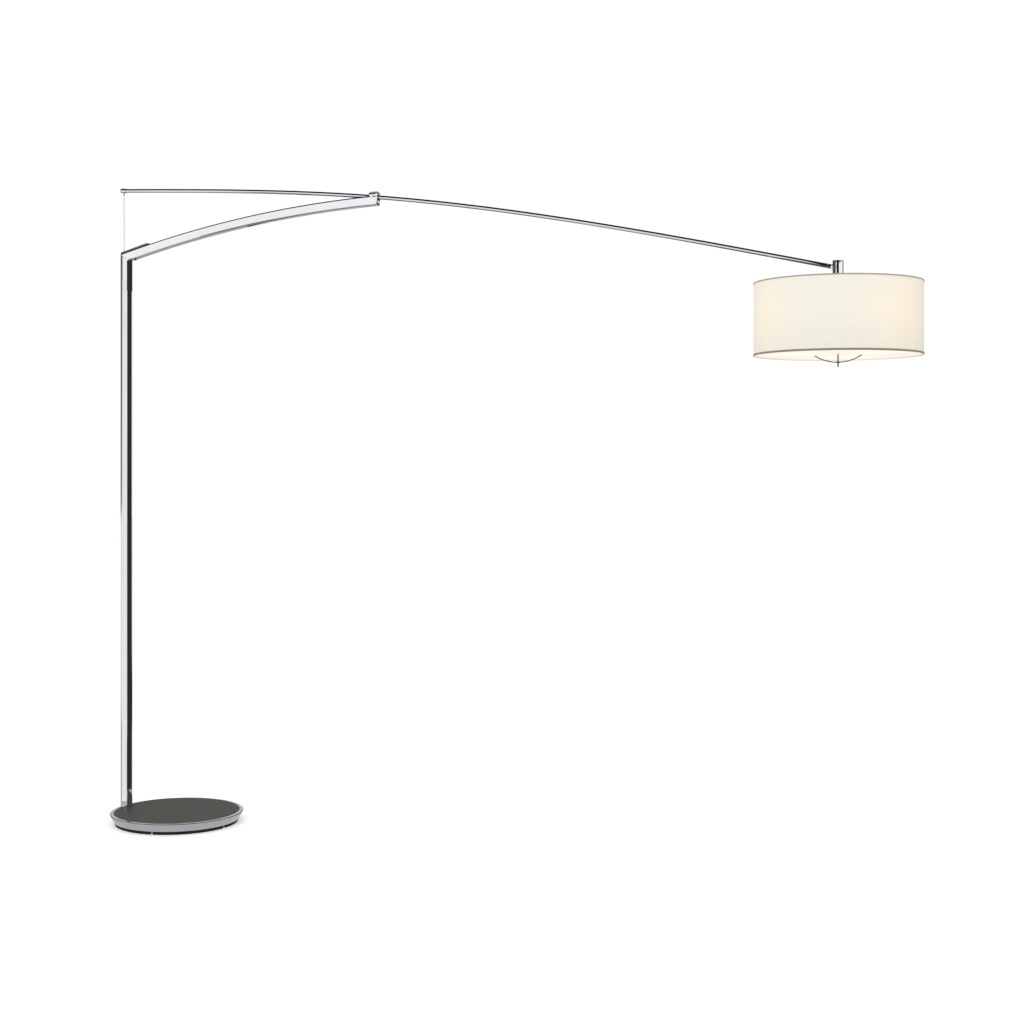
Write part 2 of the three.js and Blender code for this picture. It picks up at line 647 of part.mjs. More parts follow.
// Open at the top, with a hole for each pivot screw. The frame is the pivot.
function pivotFork() {
  const half = forkHalfWidth();
  const floor = -PIVOT_RISE - TUBE_INNER + TUBE_CORNER - TUBE_WALL + 3 * GAP; // above the tube's inner corners
  const body = sidePlate([
    [-FORK_BACK, floor],
    [FORK_FRONT - 3, floor],
    [FORK_FRONT, floor + 8],
    [FORK_FRONT, FORK_TOP],
    [-FORK_BACK + 3, FORK_TOP],
    [-FORK_BACK, FORK_TOP - 4],
  ], 2 * half);
  return cut(
    body,
    block([-TUBE, -FORK_SLOT / 2, -FORK_FLOOR], [TUBE, FORK_SLOT / 2, TUBE]),
    crossRod(PIVOT_SCREW_RADIUS + GAP, -TUBE, TUBE, 12),
  );
}

function forkCap() {
  const low = FORK_TOP + GAP;
  const high = low + FORK_CAP;
  return sidePlate([
    [-FORK_BACK + 3.2, low],
    [FORK_FRONT, low],
    [FORK_FRONT, high - 1],
    [FORK_FRONT - 1.2, high],
    [-FORK_BACK + 5, high - 0.6],
  ], 2 * forkHalfWidth());
}

function pivotScrew(side) {
  const head = TUBE / 2 + GAP;
  const shank = crossRod(PIVOT_SCREW_RADIUS, COLLAR_RADIUS - COLLAR_SCREW_DEPTH + GAP, head + 1, 12);
  const body = join(shank, crossRod(PIVOT_SCREW_HEAD, head, head + PIVOT_SCREW_HEAD_THICK, 16));
  const socket = crossRod(PIVOT_SCREW_RADIUS * 0.55, head + 0.8, head + 3, 6);
  return geometryOf(body.subtract(solid(socket))).rotateZ(side < 0 ? Math.PI : 0);
}

// The lead runs from the gland up the post, beside the counterweight, and along the floor of the arm.
function mastLead() {
  const [glandX, glandY] = polar(glandInner, GLAND_ANGLE);
  const inGroove = (t) => {
    return [(glandX + POST_OFFSET) * t, LEAD_SIDE + (glandY - LEAD_SIDE) * t, GROOVE_LEAD];
  };
  const along = (s) => {
    const slope = Math.atan(armHeight(s + 1) - armHeight(s));
    const low = TUBE_INNER - LEAD_RADIUS - 2;
    return [s + low * Math.sin(slope), LEAD_SIDE, CORNER_HEIGHT + armHeight(s) - low * Math.cos(slope)];
  };
  const entry = PIVOT_REACH - LEAD_ENTRY;
  return lead([
    inGroove(1 - LEAD_STOP / Math.hypot(glandX + POST_OFFSET, glandY - LEAD_SIDE)),
    inGroove(0.6),
    inGroove(0.3),
    inGroove(0.12),
    [0.6, LEAD_SIDE + 2, GROOVE_LEAD + 2],
    [0, LEAD_SIDE, GROOVE_LEAD + 9],
    [0, LEAD_SIDE, BASE_HEIGHT + BLOCK_HEIGHT],
    [0, LEAD_SIDE, CORNER_HEIGHT / 2],
    [0, LEAD_SIDE, CORNER_HEIGHT - 60],
    [1, LEAD_SIDE, CORNER_HEIGHT - 24],
    [9, LEAD_SIDE, CORNER_HEIGHT - 6],
    along(34),
    along(60),
    along(PIVOT_REACH * 0.3),
    along(PIVOT_REACH * 0.6),
    along(entry - 60),
    along(entry - 40),
    [entry - 27, LEAD_SIDE * 0.7, PIVOT_HEIGHT - PIVOT_RISE - 8],
    [entry - 18, LEAD_SIDE * 0.2, PIVOT_HEIGHT - PIVOT_RISE - 7],
    [entry - 12, 0, PIVOT_HEIGHT - PIVOT_RISE - 6],
  ]);
}

function makeMast() {
  const mast = new THREE.Group();
  mast.position.set(-POST_OFFSET, 0, 0);
  addPart(mast, "post_foot_block", footBlock(), steel, [0, 0, BALLAST_TOP + GAP]);
  addPart(mast, "post_tube", postTube(), chrome);
  addPart(mast, "arm_tube", armTube(), chrome);
  addPart(mast, "cable_guide_plate", guidePlate(), darkMetal);
  plateScrewPositions().forEach((x, i) => {
    addPart(mast, `guide_plate_screw_${i + 1}`, plateScrew(x), steel, [x, 0, 0]);
  });
  addPart(mast, "cable_bush", cableBush(), nylon, [-CABLE_OFFSET, 0, 0]);
  const pivot = [PIVOT_REACH, 0, PIVOT_HEIGHT];
  addPart(mast, "pivot_fork", pivotFork(), chrome, pivot);
  addPart(mast, "fork_cap", forkCap(), chrome, pivot);
  addPart(mast, "pivot_screw_front", pivotScrew(-1), chrome, pivot);
  addPart(mast, "pivot_screw_rear", pivotScrew(1), chrome, pivot);
  addPart(mast, "mast_lead", mastLead(), leadSheath);
  return mast;
}

// ---- Boom, from the pivot ----

// A section swept along the whole of the boom's tube.
function alongBoom(outline) {
  const path = new PlaneCurve(-BOOM_REAR + 4, BOOM_FRONT - TIP_LENGTH, (x) => [x, boomHeight(x)]);
  return sweep(outline, path, 22, 6);
}

function boomTube() {
  const outline = roundOutline(BOOM_RADIUS);
  outline.holes.push(roundOutline(BOOM_BORE, THREE.Path));
  const entry = boomHeight(-LEAD_ENTRY);
  const half = LEAD_RADIUS + 0.8;
  return cut(
    alongBoom(outline),
    block([-LEAD_ENTRY - 9, -half, entry - 3 * BOOM_RADIUS], [-LEAD_ENTRY + 10, half, entry]),
  );
}

function pivotCollar() {
  return cut(
    longRod(COLLAR_RADIUS, -COLLAR_LENGTH / 2, COLLAR_LENGTH / 2, 20).rotateY(BOOM_SLOPE),
    alongBoom(roundOutline(BOOM_RADIUS + GAP)),
    crossRod(PIVOT_SCREW_RADIUS + GAP, -2 * COLLAR_RADIUS, 2 * COLLAR_RADIUS, 12),
  );
}

function boomEndCap() {
  const slope = boomSlope(-BOOM_REAR);
  const shell = turned([
    [0, -CAP_BEHIND],
    [CAP_RADIUS - 2.4, -CAP_BEHIND],
    [CAP_RADIUS - 0.7, -CAP_BEHIND + 0.7],
    [CAP_RADIUS, -CAP_BEHIND + 2.4],
    [CAP_RADIUS, CAP_AHEAD],
    [BOOM_RADIUS + GAP, CAP_AHEAD],
    [BOOM_RADIUS + GAP, 4 - GAP],
    [0, 4 - GAP],
  ], 20).rotateY(Math.PI / 2 + slope);
  return cut(shell, rod(FERRULE_RADIUS + GAP, -2 * CAP_RADIUS, 1.5, 12));
}

function boomTip() {
  const back = -TIP_LENGTH + GAP;
  const shoulder = -HEAD_RADIUS - 5;
  const tongue = sidePlate([
    [back + 1, -TONGUE_HALF],
    [0, -TONGUE_HALF],
    ...[-60, -30, 0, 30, 60].map((a) => [TONGUE_HALF * Math.cos(a * RAD), TONGUE_HALF * Math.sin(a * RAD)]),
    [0, TONGUE_HALF],
    [back + 1, TONGUE_HALF],
  ], TONGUE_THICK);
  const spigot = longRod(BOOM_BORE - GAP, back - 14, back + 1, 12);
  const body = join(longRod(BOOM_RADIUS, back, shoulder, 16), tongue, spigot);
  const bore = longRod(LEAD_RADIUS + GAP, back - 20, -TIP_DROP + LEAD_RADIUS, 10);
  const drop = rod(LEAD_RADIUS + GAP, -2 * TONGUE_HALF, 0, 10, [-TIP_DROP, 0]);
  const pinHole = crossRod(HEAD_PIN_RADIUS + GAP, -TUBE, TUBE, 12);
  return geometryOf([bore, drop, pinHole].reduce((left, tool) => left.subtract(solid(tool)), body)).rotateY(TIP_SLOPE);
}

// Inside the boom, from the hole behind its pivot to the tip.
function boomLead() {
  const inside = (x) => [x, 0, boomHeight(x)];
  const entry = boomHeight(-LEAD_ENTRY);
  const end = BOOM_FRONT - 13 * Math.cos(TIP_SLOPE);
  const stretches = 8;
  return lead([
    [-LEAD_ENTRY - 12, 0, -PIVOT_RISE - 2.4 + LEAD_RADIUS * 2 + 2],
    [-LEAD_ENTRY - 7, 0, entry - 6.4],
    [-LEAD_ENTRY + 1, 0, entry - 2.2],
    inside(-LEAD_ENTRY + 12),
    ...Array.from({ length: stretches }, (_, i) => inside((end * (i + 1)) / stretches)),
  ], 3);
}

function makeBoom() {
  const boom = new THREE.Group();
  boom.position.set(PIVOT_REACH - POST_OFFSET, 0, PIVOT_HEIGHT);
  const rear = boomHeight(-BOOM_REAR);
  addPart(boom, "boom_tube", boomTube(), chrome);
  addPart(boom, "pivot_collar", pivotCollar(), chrome);
  addPart(boom, "boom_end_cap", boomEndCap(), chrome, [-BOOM_REAR, 0, rear]);
  addPart(boom, "cable_ferrule", rod(FERRULE_RADIUS, -FERRULE_LENGTH, 1.5 - GAP, 12), steel, [-BOOM_REAR, 0, rear]);
  const cableTop = rear - FERRULE_LENGTH - GAP;
  const cableLow = bushTop() + GAP - PIVOT_HEIGHT;
  addPart(boom, "boom_cable", rod(CABLE_RADIUS, cableLow, cableTop, 8), steel, [-BOOM_REAR, 0, 0]);
  addPart(boom, "boom_tip", boomTip(), chrome, [HEAD_PIN.x, 0, HEAD_PIN.z]);
  addPart(boom, "boom_lead", boomLead(), leadSheath);
  return boom;
}

// ---- Counterweight, from the post's axis ----

function slider() {
  const width = 2 * (TUBE_INNER - SLIDER_PLAY);
  const outline = roundedOutline(width, SLIDER_DEPTH, TUBE_CORNER - TUBE_WALL + 0.4);
  return prism(outline, 0, SLIDER_HEIGHT);
}

function makeCounterweight() {
  const weight = new THREE.Group();
  weight.position.set(-POST_OFFSET, 0, WEIGHT_TOP);
  const middle = -TUBE_INNER + SLIDER_PLAY + SLIDER_DEPTH / 2; // the bar leaves room for the lead beside it
  const half = WEIGHT_WIDTH / 2;
  const barMiddle = -TUBE_INNER + 1 + WEIGHT_DEPTH / 2;
  const bar = block([-half, barMiddle - WEIGHT_DEPTH / 2, -WEIGHT_LENGTH], [half, barMiddle + WEIGHT_DEPTH / 2, 0]);
  const anchorHole = rod(ANCHOR_STEM + GAP, -2 * SLIDER_HEIGHT, 2 * SLIDER_HEIGHT, 10, [-CABLE_OFFSET, 0]);
  addPart(weight, "counterweight_bar", cut(bar, anchorHole), iron);
  const upper = slider().translate(0, middle, GAP);
  addPart(weight, "upper_slider", cut(upper, anchorHole), nylon);
  addPart(weight, "lower_slider", slider().translate(0, middle, -WEIGHT_LENGTH - SLIDER_HEIGHT - GAP), nylon);
  const seat = SLIDER_HEIGHT + 2 * GAP;
  const anchor = join(
    rod(ANCHOR_RADIUS, seat, seat + ANCHOR_HEIGHT, 12),
    rod(ANCHOR_STEM, -SLIDER_HEIGHT, seat + 1, 10),
  );
  addPart(weight, "cable_anchor", anchor, steel, [-CABLE_OFFSET, 0, 0]);
  const cableLow = seat + ANCHOR_HEIGHT + GAP;
  const cableTop = bushTop() - WEIGHT_TOP;
  addPart(weight, "weight_cable", rod(CABLE_RADIUS, cableLow, cableTop, 8), steel, [-CABLE_OFFSET, 0, 0]);
  return weight;
}

// ---- Head and shade, from the head's pin ----

function headTube() {
  const inner = HEAD_RADIUS - HEAD_WALL;
  const tube = turned([
    [inner, -HEAD_BELOW],
    [HEAD_RADIUS, -HEAD_BELOW],
    [HEAD_RADIUS, HEAD_ABOVE - HEAD_CAP - GAP],
    [inner, HEAD_ABOVE - HEAD_CAP - GAP],
  ], 28);
  const slotHalf = TONGUE_THICK / 2 + 2 * GAP;
  return cut(
    tube,
    block([-2 * HEAD_RADIUS, -slotHalf, -SLOT_UNDER], [0, slotHalf, SLOT_OVER]),
    crossRod(HEAD_PIN_RADIUS + GAP, -2 * HEAD_RADIUS, 2 * HEAD_RADIUS, 12),
  );
}

function headCap() {
  const low = HEAD_ABOVE - HEAD_CAP;
  return turned([
    [0, low],
    [HEAD_RADIUS, low],
    [HEAD_RADIUS, HEAD_ABOVE - 0.6],
    [HEAD_RADIUS - 0.6, HEAD_ABOVE],
    [0, HEAD_ABOVE],
  ], 28);
}

const stemTop = -HEAD_BELOW + STEM_PLUG;
const hubTop = -LAMP_DROP + HUB_HEIGHT / 2;
const spiderTop = -HEAD_BELOW - GAP;

function dropStem() {
  const plug = HEAD_RADIUS - HEAD_WALL - GAP;
  return turned([
    [STEM_BORE, hubTop + GAP],
    [STEM_RADIUS, hubTop + GAP],
    [STEM_RADIUS, -HEAD_BELOW],
    [plug, -HEAD_BELOW],
    [plug, stemTop],
    [STEM_BORE, stemTop],
  ], 20);
}

function lampAngles() {
  return Array.from({ length: LAMP_COUNT }, (_, i) => LAMP_ANGLE + (360 / LAMP_COUNT) * i);
}

// Hub, spokes and the shade's upper ring, welded together.
function shadeSpider() {
  const ringRadius = SHADE_RADIUS - SHADE_WALL - WIRE_RADIUS - GAP;
  const ringHeight = -SHADE_TOP_DROP - WIRE_RADIUS - 1;
  const low = spiderTop - SPIDER_HUB_HEIGHT;
  const hub = turned([
    [STEM_RADIUS + GAP, low],
    [SPIDER_HUB, low],
    [SPIDER_HUB, spiderTop],
    [STEM_RADIUS + GAP, spiderTop],
  ], 20);
  const ring = new THREE.TorusGeometry(ringRadius, WIRE_RADIUS, 5, 48).translate(0, 0, ringHeight);
  const start = SPIDER_HUB - 2;
  const height = (low + spiderTop) / 2;
  const rise = ringHeight - height;
  const spokes = lampAngles().map((angle) => {
    const length = Math.hypot(ringRadius - start, rise);
    const spoke = longRod(WIRE_RADIUS * 0.9, 0, length, 8).rotateY(-Math.atan2(rise, ringRadius - start));
    return spoke.translate(start, 0, height).rotateZ(angle * RAD);
  });
  return join(hub, ring, ...spokes);
}

function shadeDrum() {
  const inner = SHADE_RADIUS - SHADE_WALL;
  const top = -SHADE_TOP_DROP;
  return turned([[inner, SHADE_BOTTOM], [SHADE_RADIUS, SHADE_BOTTOM], [SHADE_RADIUS, top], [inner, top]]);
}

function trim(low, high) {
  const inner = SHADE_RADIUS + GAP;
  return turned([[inner, low], [inner + TRIM_THICK, low], [inner + TRIM_THICK, high], [inner, high]]);
}

function lowerRing() {
  const ringRadius = SHADE_RADIUS - SHADE_WALL - WIRE_RADIUS - GAP;
  const height = DIFFUSER_UNDER + DIFFUSER_THICK + GAP + WIRE_RADIUS;
  return new THREE.TorusGeometry(ringRadius, WIRE_RADIUS, 5, 48).translate(0, 0, height);
}

function diffuser() {
  const hole = TIE_ROD_RADIUS + GAP;
  const edge = SHADE_RADIUS - SHADE_WALL - DIFFUSER_PLAY;
  const top = DIFFUSER_UNDER + DIFFUSER_THICK;
  return turned([[hole, DIFFUSER_UNDER], [edge, DIFFUSER_UNDER], [edge, top], [hole, top]]);
}

function lampHub() {
  const low = -LAMP_DROP - HUB_HEIGHT / 2;
  return turned([
    [0, low],
    [HUB_RADIUS - 3, low],
    [HUB_RADIUS, low + 3],
    [HUB_RADIUS, hubTop - 3],
    [HUB_RADIUS - 3, hubTop],
    [0, hubTop],
  ], 24);
}

// A lampholder and its bulb, along +X.
function lampHolder() {
  const start = HUB_RADIUS + GAP;
  const end = start + HOLDER_LENGTH;
  return turned([
    [0, start],
    [HOLDER_RADIUS - 3, start],
    [HOLDER_RADIUS, start + 8],
    [HOLDER_RADIUS, end],
    [BULB_NECK + GAP, end],
    [BULB_NECK + GAP, end - 24],
    [0, end - 24],
  ], 20).rotateY(Math.PI / 2).translate(0, 0, -LAMP_DROP);
}

function bulb() {
  const start = HUB_RADIUS + GAP + HOLDER_LENGTH - 24 + GAP;
  const centre = start + BULB_LENGTH - BULB_RADIUS;
  const arc = [-50, -25, 0, 25, 50, 72].map((a) => {
    return [BULB_RADIUS * Math.cos(a * RAD), centre + BULB_RADIUS * Math.sin(a * RAD)];
  });
  const profile = [[0, start], [BULB_NECK, start], [BULB_NECK, start + 26], ...arc, [0, centre + BULB_RADIUS]];
  return turned(profile, 16).rotateY(Math.PI / 2).translate(0, 0, -LAMP_DROP);
}

function tieRod() {
  return rod(TIE_ROD_RADIUS, BOW_LOW - BOW_EYE_HEIGHT / 2 - GAP, -LAMP_DROP - HUB_HEIGHT / 2 - GAP, 12);
}

// A thin wire bow below the diffuser, with an eye in the middle.
function diffuserBow() {
  const reach = Math.asin(BOW_HALF / BOW_RADIUS);
  const path = new PlaneCurve(-reach, reach, (a) => {
    return [BOW_RADIUS * Math.sin(a), BOW_LOW + BOW_RADIUS * (1 - Math.cos(a))];
  });
  const wire = sweep(roundOutline(BOW_WIRE), path, 16, 3);
  const half = BOW_EYE_HEIGHT / 2;
  const eye = rod(BOW_EYE, BOW_LOW - half, BOW_LOW + half, 16);
  return join(wire, eye).subtract(solid(rod(TIE_ROD_RADIUS + GAP, BOW_LOW - 9, BOW_LOW + 9, 12)));
}

function finial() {
  const top = BOW_LOW - BOW_EYE_HEIGHT / 2 - 2 * GAP;
  const low = top - FINIAL_LENGTH;
  return turned([
    [0, low],
    [FINIAL_RADIUS * 0.6, low + 0.3],
    [FINIAL_RADIUS, low + 1.5],
    [FINIAL_RADIUS, top],
    [0, top],
  ], 12);
}

function headLead() {
  return lead([
    [-TIP_DROP, 0, -TONGUE_HALF - 3],
    [-TIP_DROP + 0.5, 0, -TONGUE_HALF - 10],
    [-4, 0, stemTop + 9],
    [0, 0, stemTop],
    [0, 0, stemTop - 12],
    [0, 0, hubTop + 4],
  ], 4);
}

function makeHead() {
  const head = new THREE.Group();
  head.position.set(PIVOT_REACH - POST_OFFSET + HEAD_PIN.x, 0, PIVOT_HEIGHT + HEAD_PIN.z);
  const pinHalf = HEAD_RADIUS + HEAD_PIN_PROUD;
  addPart(head, "head_tube", headTube(), chrome);
  addPart(head, "head_cap", headCap(), chrome);
  addPart(head, "head_pin", crossRod(HEAD_PIN_RADIUS, -pinHalf, pinHalf, 14), chrome);
  addPart(head, "head_lead", headLead(), leadSheath);
  addPart(head, "drop_stem", dropStem(), chrome);
  addPart(head, "lamp_hub", lampHub(), porcelain);
  lampAngles().forEach((angle, i) => {
    addPart(head, `lampholder_${i + 1}`, lampHolder().rotateZ(angle * RAD), porcelain);
    addPart(head, `bulb_${i + 1}`, bulb().rotateZ(angle * RAD), bulbGlass);
  });
  addPart(head, "shade_spider", shadeSpider(), steel);
  addPart(head, "shade_drum", shadeDrum(), shadeFabric);
  addPart(head, "shade_top_trim", trim(-SHADE_TOP_DROP - TOP_TRIM, -SHADE_TOP_DROP), shadeTrim);
  addPart(head, "shade_bottom_trim", trim(SHADE_BOTTOM, SHADE_BOTTOM + BOTTOM_TRIM), shadeTrim);
  addPart(head, "shade_lower_ring", lowerRing(), steel);
  addPart(head, "diffuser", diffuser(), opal);
  addPart(head, "tie_rod", tieRod(), steel);
  addPart(head, "diffuser_bow", diffuserBow(), chrome);
  addPart(head, "finial", finial(), darkMetal);
  return head;
}

const lamp = new THREE.Group();
lamp.name = "adjustable_arm_floor_lamp";
lamp.add(makeBase(), makeMast(), makeBoom(), makeCounterweight(), makeHead());

export default lamp;
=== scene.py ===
import json
import math

import bmesh
import bpy
from mathutils import Matrix, Vector


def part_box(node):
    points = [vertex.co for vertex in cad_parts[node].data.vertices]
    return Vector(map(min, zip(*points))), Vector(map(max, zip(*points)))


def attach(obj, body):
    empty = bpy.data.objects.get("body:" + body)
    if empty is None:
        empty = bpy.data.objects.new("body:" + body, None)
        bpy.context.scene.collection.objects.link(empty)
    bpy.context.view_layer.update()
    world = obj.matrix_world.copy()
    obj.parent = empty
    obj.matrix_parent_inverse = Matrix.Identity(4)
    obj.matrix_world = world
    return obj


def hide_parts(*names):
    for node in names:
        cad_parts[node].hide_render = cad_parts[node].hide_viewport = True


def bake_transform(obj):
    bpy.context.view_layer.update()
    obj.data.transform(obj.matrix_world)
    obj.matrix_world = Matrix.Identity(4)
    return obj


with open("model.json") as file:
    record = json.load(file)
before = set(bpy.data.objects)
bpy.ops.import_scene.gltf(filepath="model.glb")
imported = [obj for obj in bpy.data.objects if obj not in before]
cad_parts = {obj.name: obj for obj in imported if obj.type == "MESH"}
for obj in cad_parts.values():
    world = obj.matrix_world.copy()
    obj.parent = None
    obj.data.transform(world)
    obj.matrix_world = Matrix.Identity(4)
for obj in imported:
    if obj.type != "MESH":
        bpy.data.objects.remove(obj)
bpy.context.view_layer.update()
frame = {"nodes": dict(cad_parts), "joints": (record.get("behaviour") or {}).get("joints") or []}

print("frame loaded:", len(frame["nodes"]), "nodes")


def centreOf(node):
    low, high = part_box(node)
    return (low + high) / 2


def jointPlace(name):
    return Vector(next(j for j in frame["joints"] if j["name"] == name)["pos_m"])


postX = centreOf("post_tube").x
pivot = jointPlace("boom_tilt")
headPin = jointPlace("shade_level")
lampAngles = (90, 210, 330)  # degrees round the shade, for its lamps and its spokes
gap = 0.0003  # between touching pieces, in metres like every size here


def finishColour(code):  # sRGB hex to the linear colour that the shader takes
    channels = [int(code[i:i + 2], 16) / 255 for i in (1, 3, 5)]
    return [c / 12.92 if c <= 0.04045 else ((c + 0.055) / 1.055) ** 2.4 for c in channels] + [1]


def addNode(tree, kind, inputs=None, **settings):
    made = tree.nodes.new("ShaderNode" + kind)
    for key, value in settings.items():
        setattr(made, key, value)
    for key, value in (inputs or {}).items():
        if isinstance(value, bpy.types.NodeSocket):
            tree.links.new(value, made.inputs[key])
        else:
            made.inputs[key].default_value = value
    return made


def addRamp(tree, factor, stops):
    made = addNode(tree, "ValToRGB", {"Fac": factor})
    while len(made.color_ramp.elements) < len(stops):
        made.color_ramp.elements.new(0.5)
    for element, (place, shade) in zip(made.color_ramp.elements, stops):
        element.position = place
        element.color = shade if hasattr(shade, "__len__") else [shade, shade, shade, 1]
    return made.outputs["Color"]


def startMaterial(name, **constants):
    material = bpy.data.materials.new(name)
    material.use_nodes = True
    tree = material.node_tree
    shader = tree.nodes["Principled BSDF"]
    for key, value in constants.items():
        shader.inputs[key.replace("_", " ")].default_value = value
    place = addNode(tree, "TexCoord").outputs["Object"]
    return material, tree, shader, place


def spreadValue(tree, fac, low, high):
    return addNode(tree, "MapRange", {"Value": fac, "To Min": low, "To Max": high}).outputs["Result"]


def tintBetween(tree, fac, first, second):
    made = addNode(tree, "Mix", {"Factor": fac}, data_type="RGBA")
    made.inputs[6].default_value = finishColour(first)
    made.inputs[7].default_value = finishColour(second)
    return made.outputs[2]


def bumpFrom(tree, shader, height, depth, strength=1.0, before=None):
    inputs = {"Height": height, "Distance": depth, "Strength": strength}
    if before is not None:
        inputs["Normal"] = before
    made = addNode(tree, "Bump", inputs)
    tree.links.new(made.outputs["Normal"], shader.inputs["Normal"])
    return made.outputs["Normal"]


# Chrome plate, polished on the tubes and brushed fine on the rim. It mirrors the room, with wiped streaks
# and a slow waviness about 17 mm long.
def makeChrome(name, shadeLow, shadeHigh, gloss, wiped):
    material, tree, shader, place = startMaterial(name, Metallic=1.0)
    cloud = addNode(tree, "TexNoise", {"Vector": place, "Scale": 14, "Detail": 5}).outputs["Fac"]
    tree.links.new(tintBetween(tree, cloud, shadeLow, shadeHigh), shader.inputs["Base Color"])
    smear = addNode(tree, "Mapping", {"Vector": place, "Scale": (9, 9, 90)}).outputs["Vector"]
    streak = addNode(tree, "TexNoise", {"Vector": smear, "Scale": 3, "Detail": 8, "Roughness": 0.65}).outputs["Fac"]
    tree.links.new(spreadValue(tree, streak, gloss, gloss + wiped), shader.inputs["Roughness"])
    ripple = addNode(tree, "TexNoise", {"Vector": place, "Scale": 60, "Detail": 2}).outputs["Fac"]
    bumpFrom(tree, shader, ripple, 0.00002, 0.35)
    return material


# Metallic lacquer sprayed on steel: a soft satin with a 2.4 mm orange peel. Its flakes are 0.4 mm apart,
# coarser than real ones, so that they show.
def makeLacquer(name, dark, light):
    material, tree, shader, place = startMaterial(name, Metallic=0.4, Coat_Weight=0.2, Coat_Roughness=0.2)
    flake = addNode(tree, "TexVoronoi", {"Vector": place, "Scale": 2600}).outputs["Color"]
    flake = addNode(tree, "SeparateColor", {"Color": flake}).outputs["Red"]
    tree.links.new(tintBetween(tree, flake, dark, light), shader.inputs["Base Color"])
    tree.links.new(spreadValue(tree, flake, 0.3, 0.46), shader.inputs["Roughness"])
    peel = addNode(tree, "TexNoise", {"Vector": place, "Scale": 420, "Detail": 3}).outputs["Fac"]
    bumpFrom(tree, shader, peel, 0.00004, 0.5)
    return material


# Bare steel, turned or drawn: a dull grey shine with grain lines about 3 mm long and 0.4 mm apart.
def makeBareSteel(name, along, dark="#7E8082", light="#B9BBBC"):
    material, tree, shader, place = startMaterial(name, Metallic=1.0)
    drawn = addNode(tree, "Mapping", {"Vector": place, "Scale": along}).outputs["Vector"]
    grain = addNode(tree, "TexNoise", {"Vector": drawn, "Scale": 300, "Detail": 6, "Roughness": 0.7}).outputs["Fac"]
    tree.links.new(tintBetween(tree, grain, dark, light), shader.inputs["Base Color"])
    tree.links.new(spreadValue(tree, grain, 0.2, 0.42), shader.inputs["Roughness"])
    bumpFrom(tree, shader, grain, 0.00003, 0.5)
    return material


# Stranded steel cable: fourteen slanting bright bands round it, which are painted highlights on the strands' crests
# with painted shade in the grooves between them, with a lay of 6.7 mm.
def makeStrandedCable(name):
    material, tree, shader, place = startMaterial(name, Metallic=1.0, Roughness=0.3)
    height = addNode(tree, "SeparateXYZ", {"Vector": place}).outputs["Z"]
    around = addNode(tree, "SeparateXYZ", {"Vector": addNode(tree, "UVMap").outputs["UV"]}).outputs["X"]
    slant = addNode(tree, "Math", {0: height, 1: 150.0}, operation="MULTIPLY").outputs[0]
    lay = addNode(tree, "Math", {0: slant, 1: around}, operation="ADD").outputs[0]
    turns = addNode(tree, "Math", {0: lay, 1: 7 * 2 * math.pi}, operation="MULTIPLY").outputs[0]
    wave = addNode(tree, "Math", {0: turns}, operation="SINE").outputs[0]
    wave = spreadValue(tree, addNode(tree, "Math", {0: wave}, operation="ABSOLUTE").outputs[0], 0, 1)
    # painted highlight on each strand's crest and painted shade in the groove between strands
    tree.links.new(tintBetween(tree, wave, "#6A6C6E", "#C4C6C7"), shader.inputs["Base Color"])
    bumpFrom(tree, shader, wave, 0.00012, 0.8)
    return material


# Grained leather, dyed dark: a low sheen, with creases 1.6 mm apart, 5 mm mottling and 30 mm clouds. The
# creases are a little coarser than real ones, so that they show.
def makeCoverLeather(name):
    material, tree, shader, place = startMaterial(name, Specular_IOR_Level=0.28, Coat_Weight=0.03, Coat_Roughness=0.3)
    cloud = addNode(tree, "TexNoise", {"Vector": place, "Scale": 34, "Detail": 7, "Roughness": 0.6}).outputs["Fac"]
    pebble = addNode(tree, "TexVoronoi", {"Vector": place, "Scale": 620, "Randomness": 0.9},
                     feature="DISTANCE_TO_EDGE").outputs["Distance"]
    crease = addRamp(tree, pebble, [(0, 0.0), (0.16, 0.8), (0.45, 1.0)])
    grit = addNode(tree, "TexNoise", {"Vector": place, "Scale": 1500, "Detail": 3}).outputs["Fac"]
    mottle = addNode(tree, "TexNoise", {"Vector": place, "Scale": 210, "Detail": 6, "Roughness": 0.75}).outputs["Fac"]
    patch = addNode(tree, "Mix", {"Factor": 0.84}, data_type="FLOAT")
    tree.links.new(cloud, patch.inputs[2])
    tree.links.new(mottle, patch.inputs[3])
    spread = addNode(tree, "MapRange", {"Value": patch.outputs[0], "From Min": 0.32,
                                        "From Max": 0.68}).outputs["Result"]
    tone = tintBetween(tree, spread, "#22211D", "#75726B")
    # painted shade: the base colour is made darker in the creases
    shade = addNode(tree, "Mix", {"Factor": 0.35}, data_type="RGBA", blend_type="MULTIPLY")
    tree.links.new(tone, shade.inputs[6])
    tree.links.new(crease, shade.inputs[7])
    tree.links.new(shade.outputs[2], shader.inputs["Base Color"])
    tree.links.new(spreadValue(tree, cloud, 0.46, 0.62), shader.inputs["Roughness"])
    first = bumpFrom(tree, shader, crease, 0.00012, 0.7)
    bumpFrom(tree, shader, grit, 0.00003, 0.4, first)
    return material


# Moulded rubber: nearly matt, with 18 mm clouds from handling and 1 mm pores.
def makeRubber(name, dark, light, rough=0.75):
    material, tree, shader, place = startMaterial(name, IOR=1.45)
    cloud = addNode(tree, "TexNoise", {"Vector": place, "Scale": 55, "Detail": 6}).outputs["Fac"]
    tree.links.new(tintBetween(tree, cloud, dark, light), shader.inputs["Base Color"])
    tree.links.new(spreadValue(tree, cloud, rough - 0.1, rough + 0.08), shader.inputs["Roughness"])
    pore = addNode(tree, "TexNoise", {"Vector": place, "Scale": 900, "Detail": 3}).outputs["Fac"]
    bumpFrom(tree, shader, pore, 0.00005, 0.5)
    return material


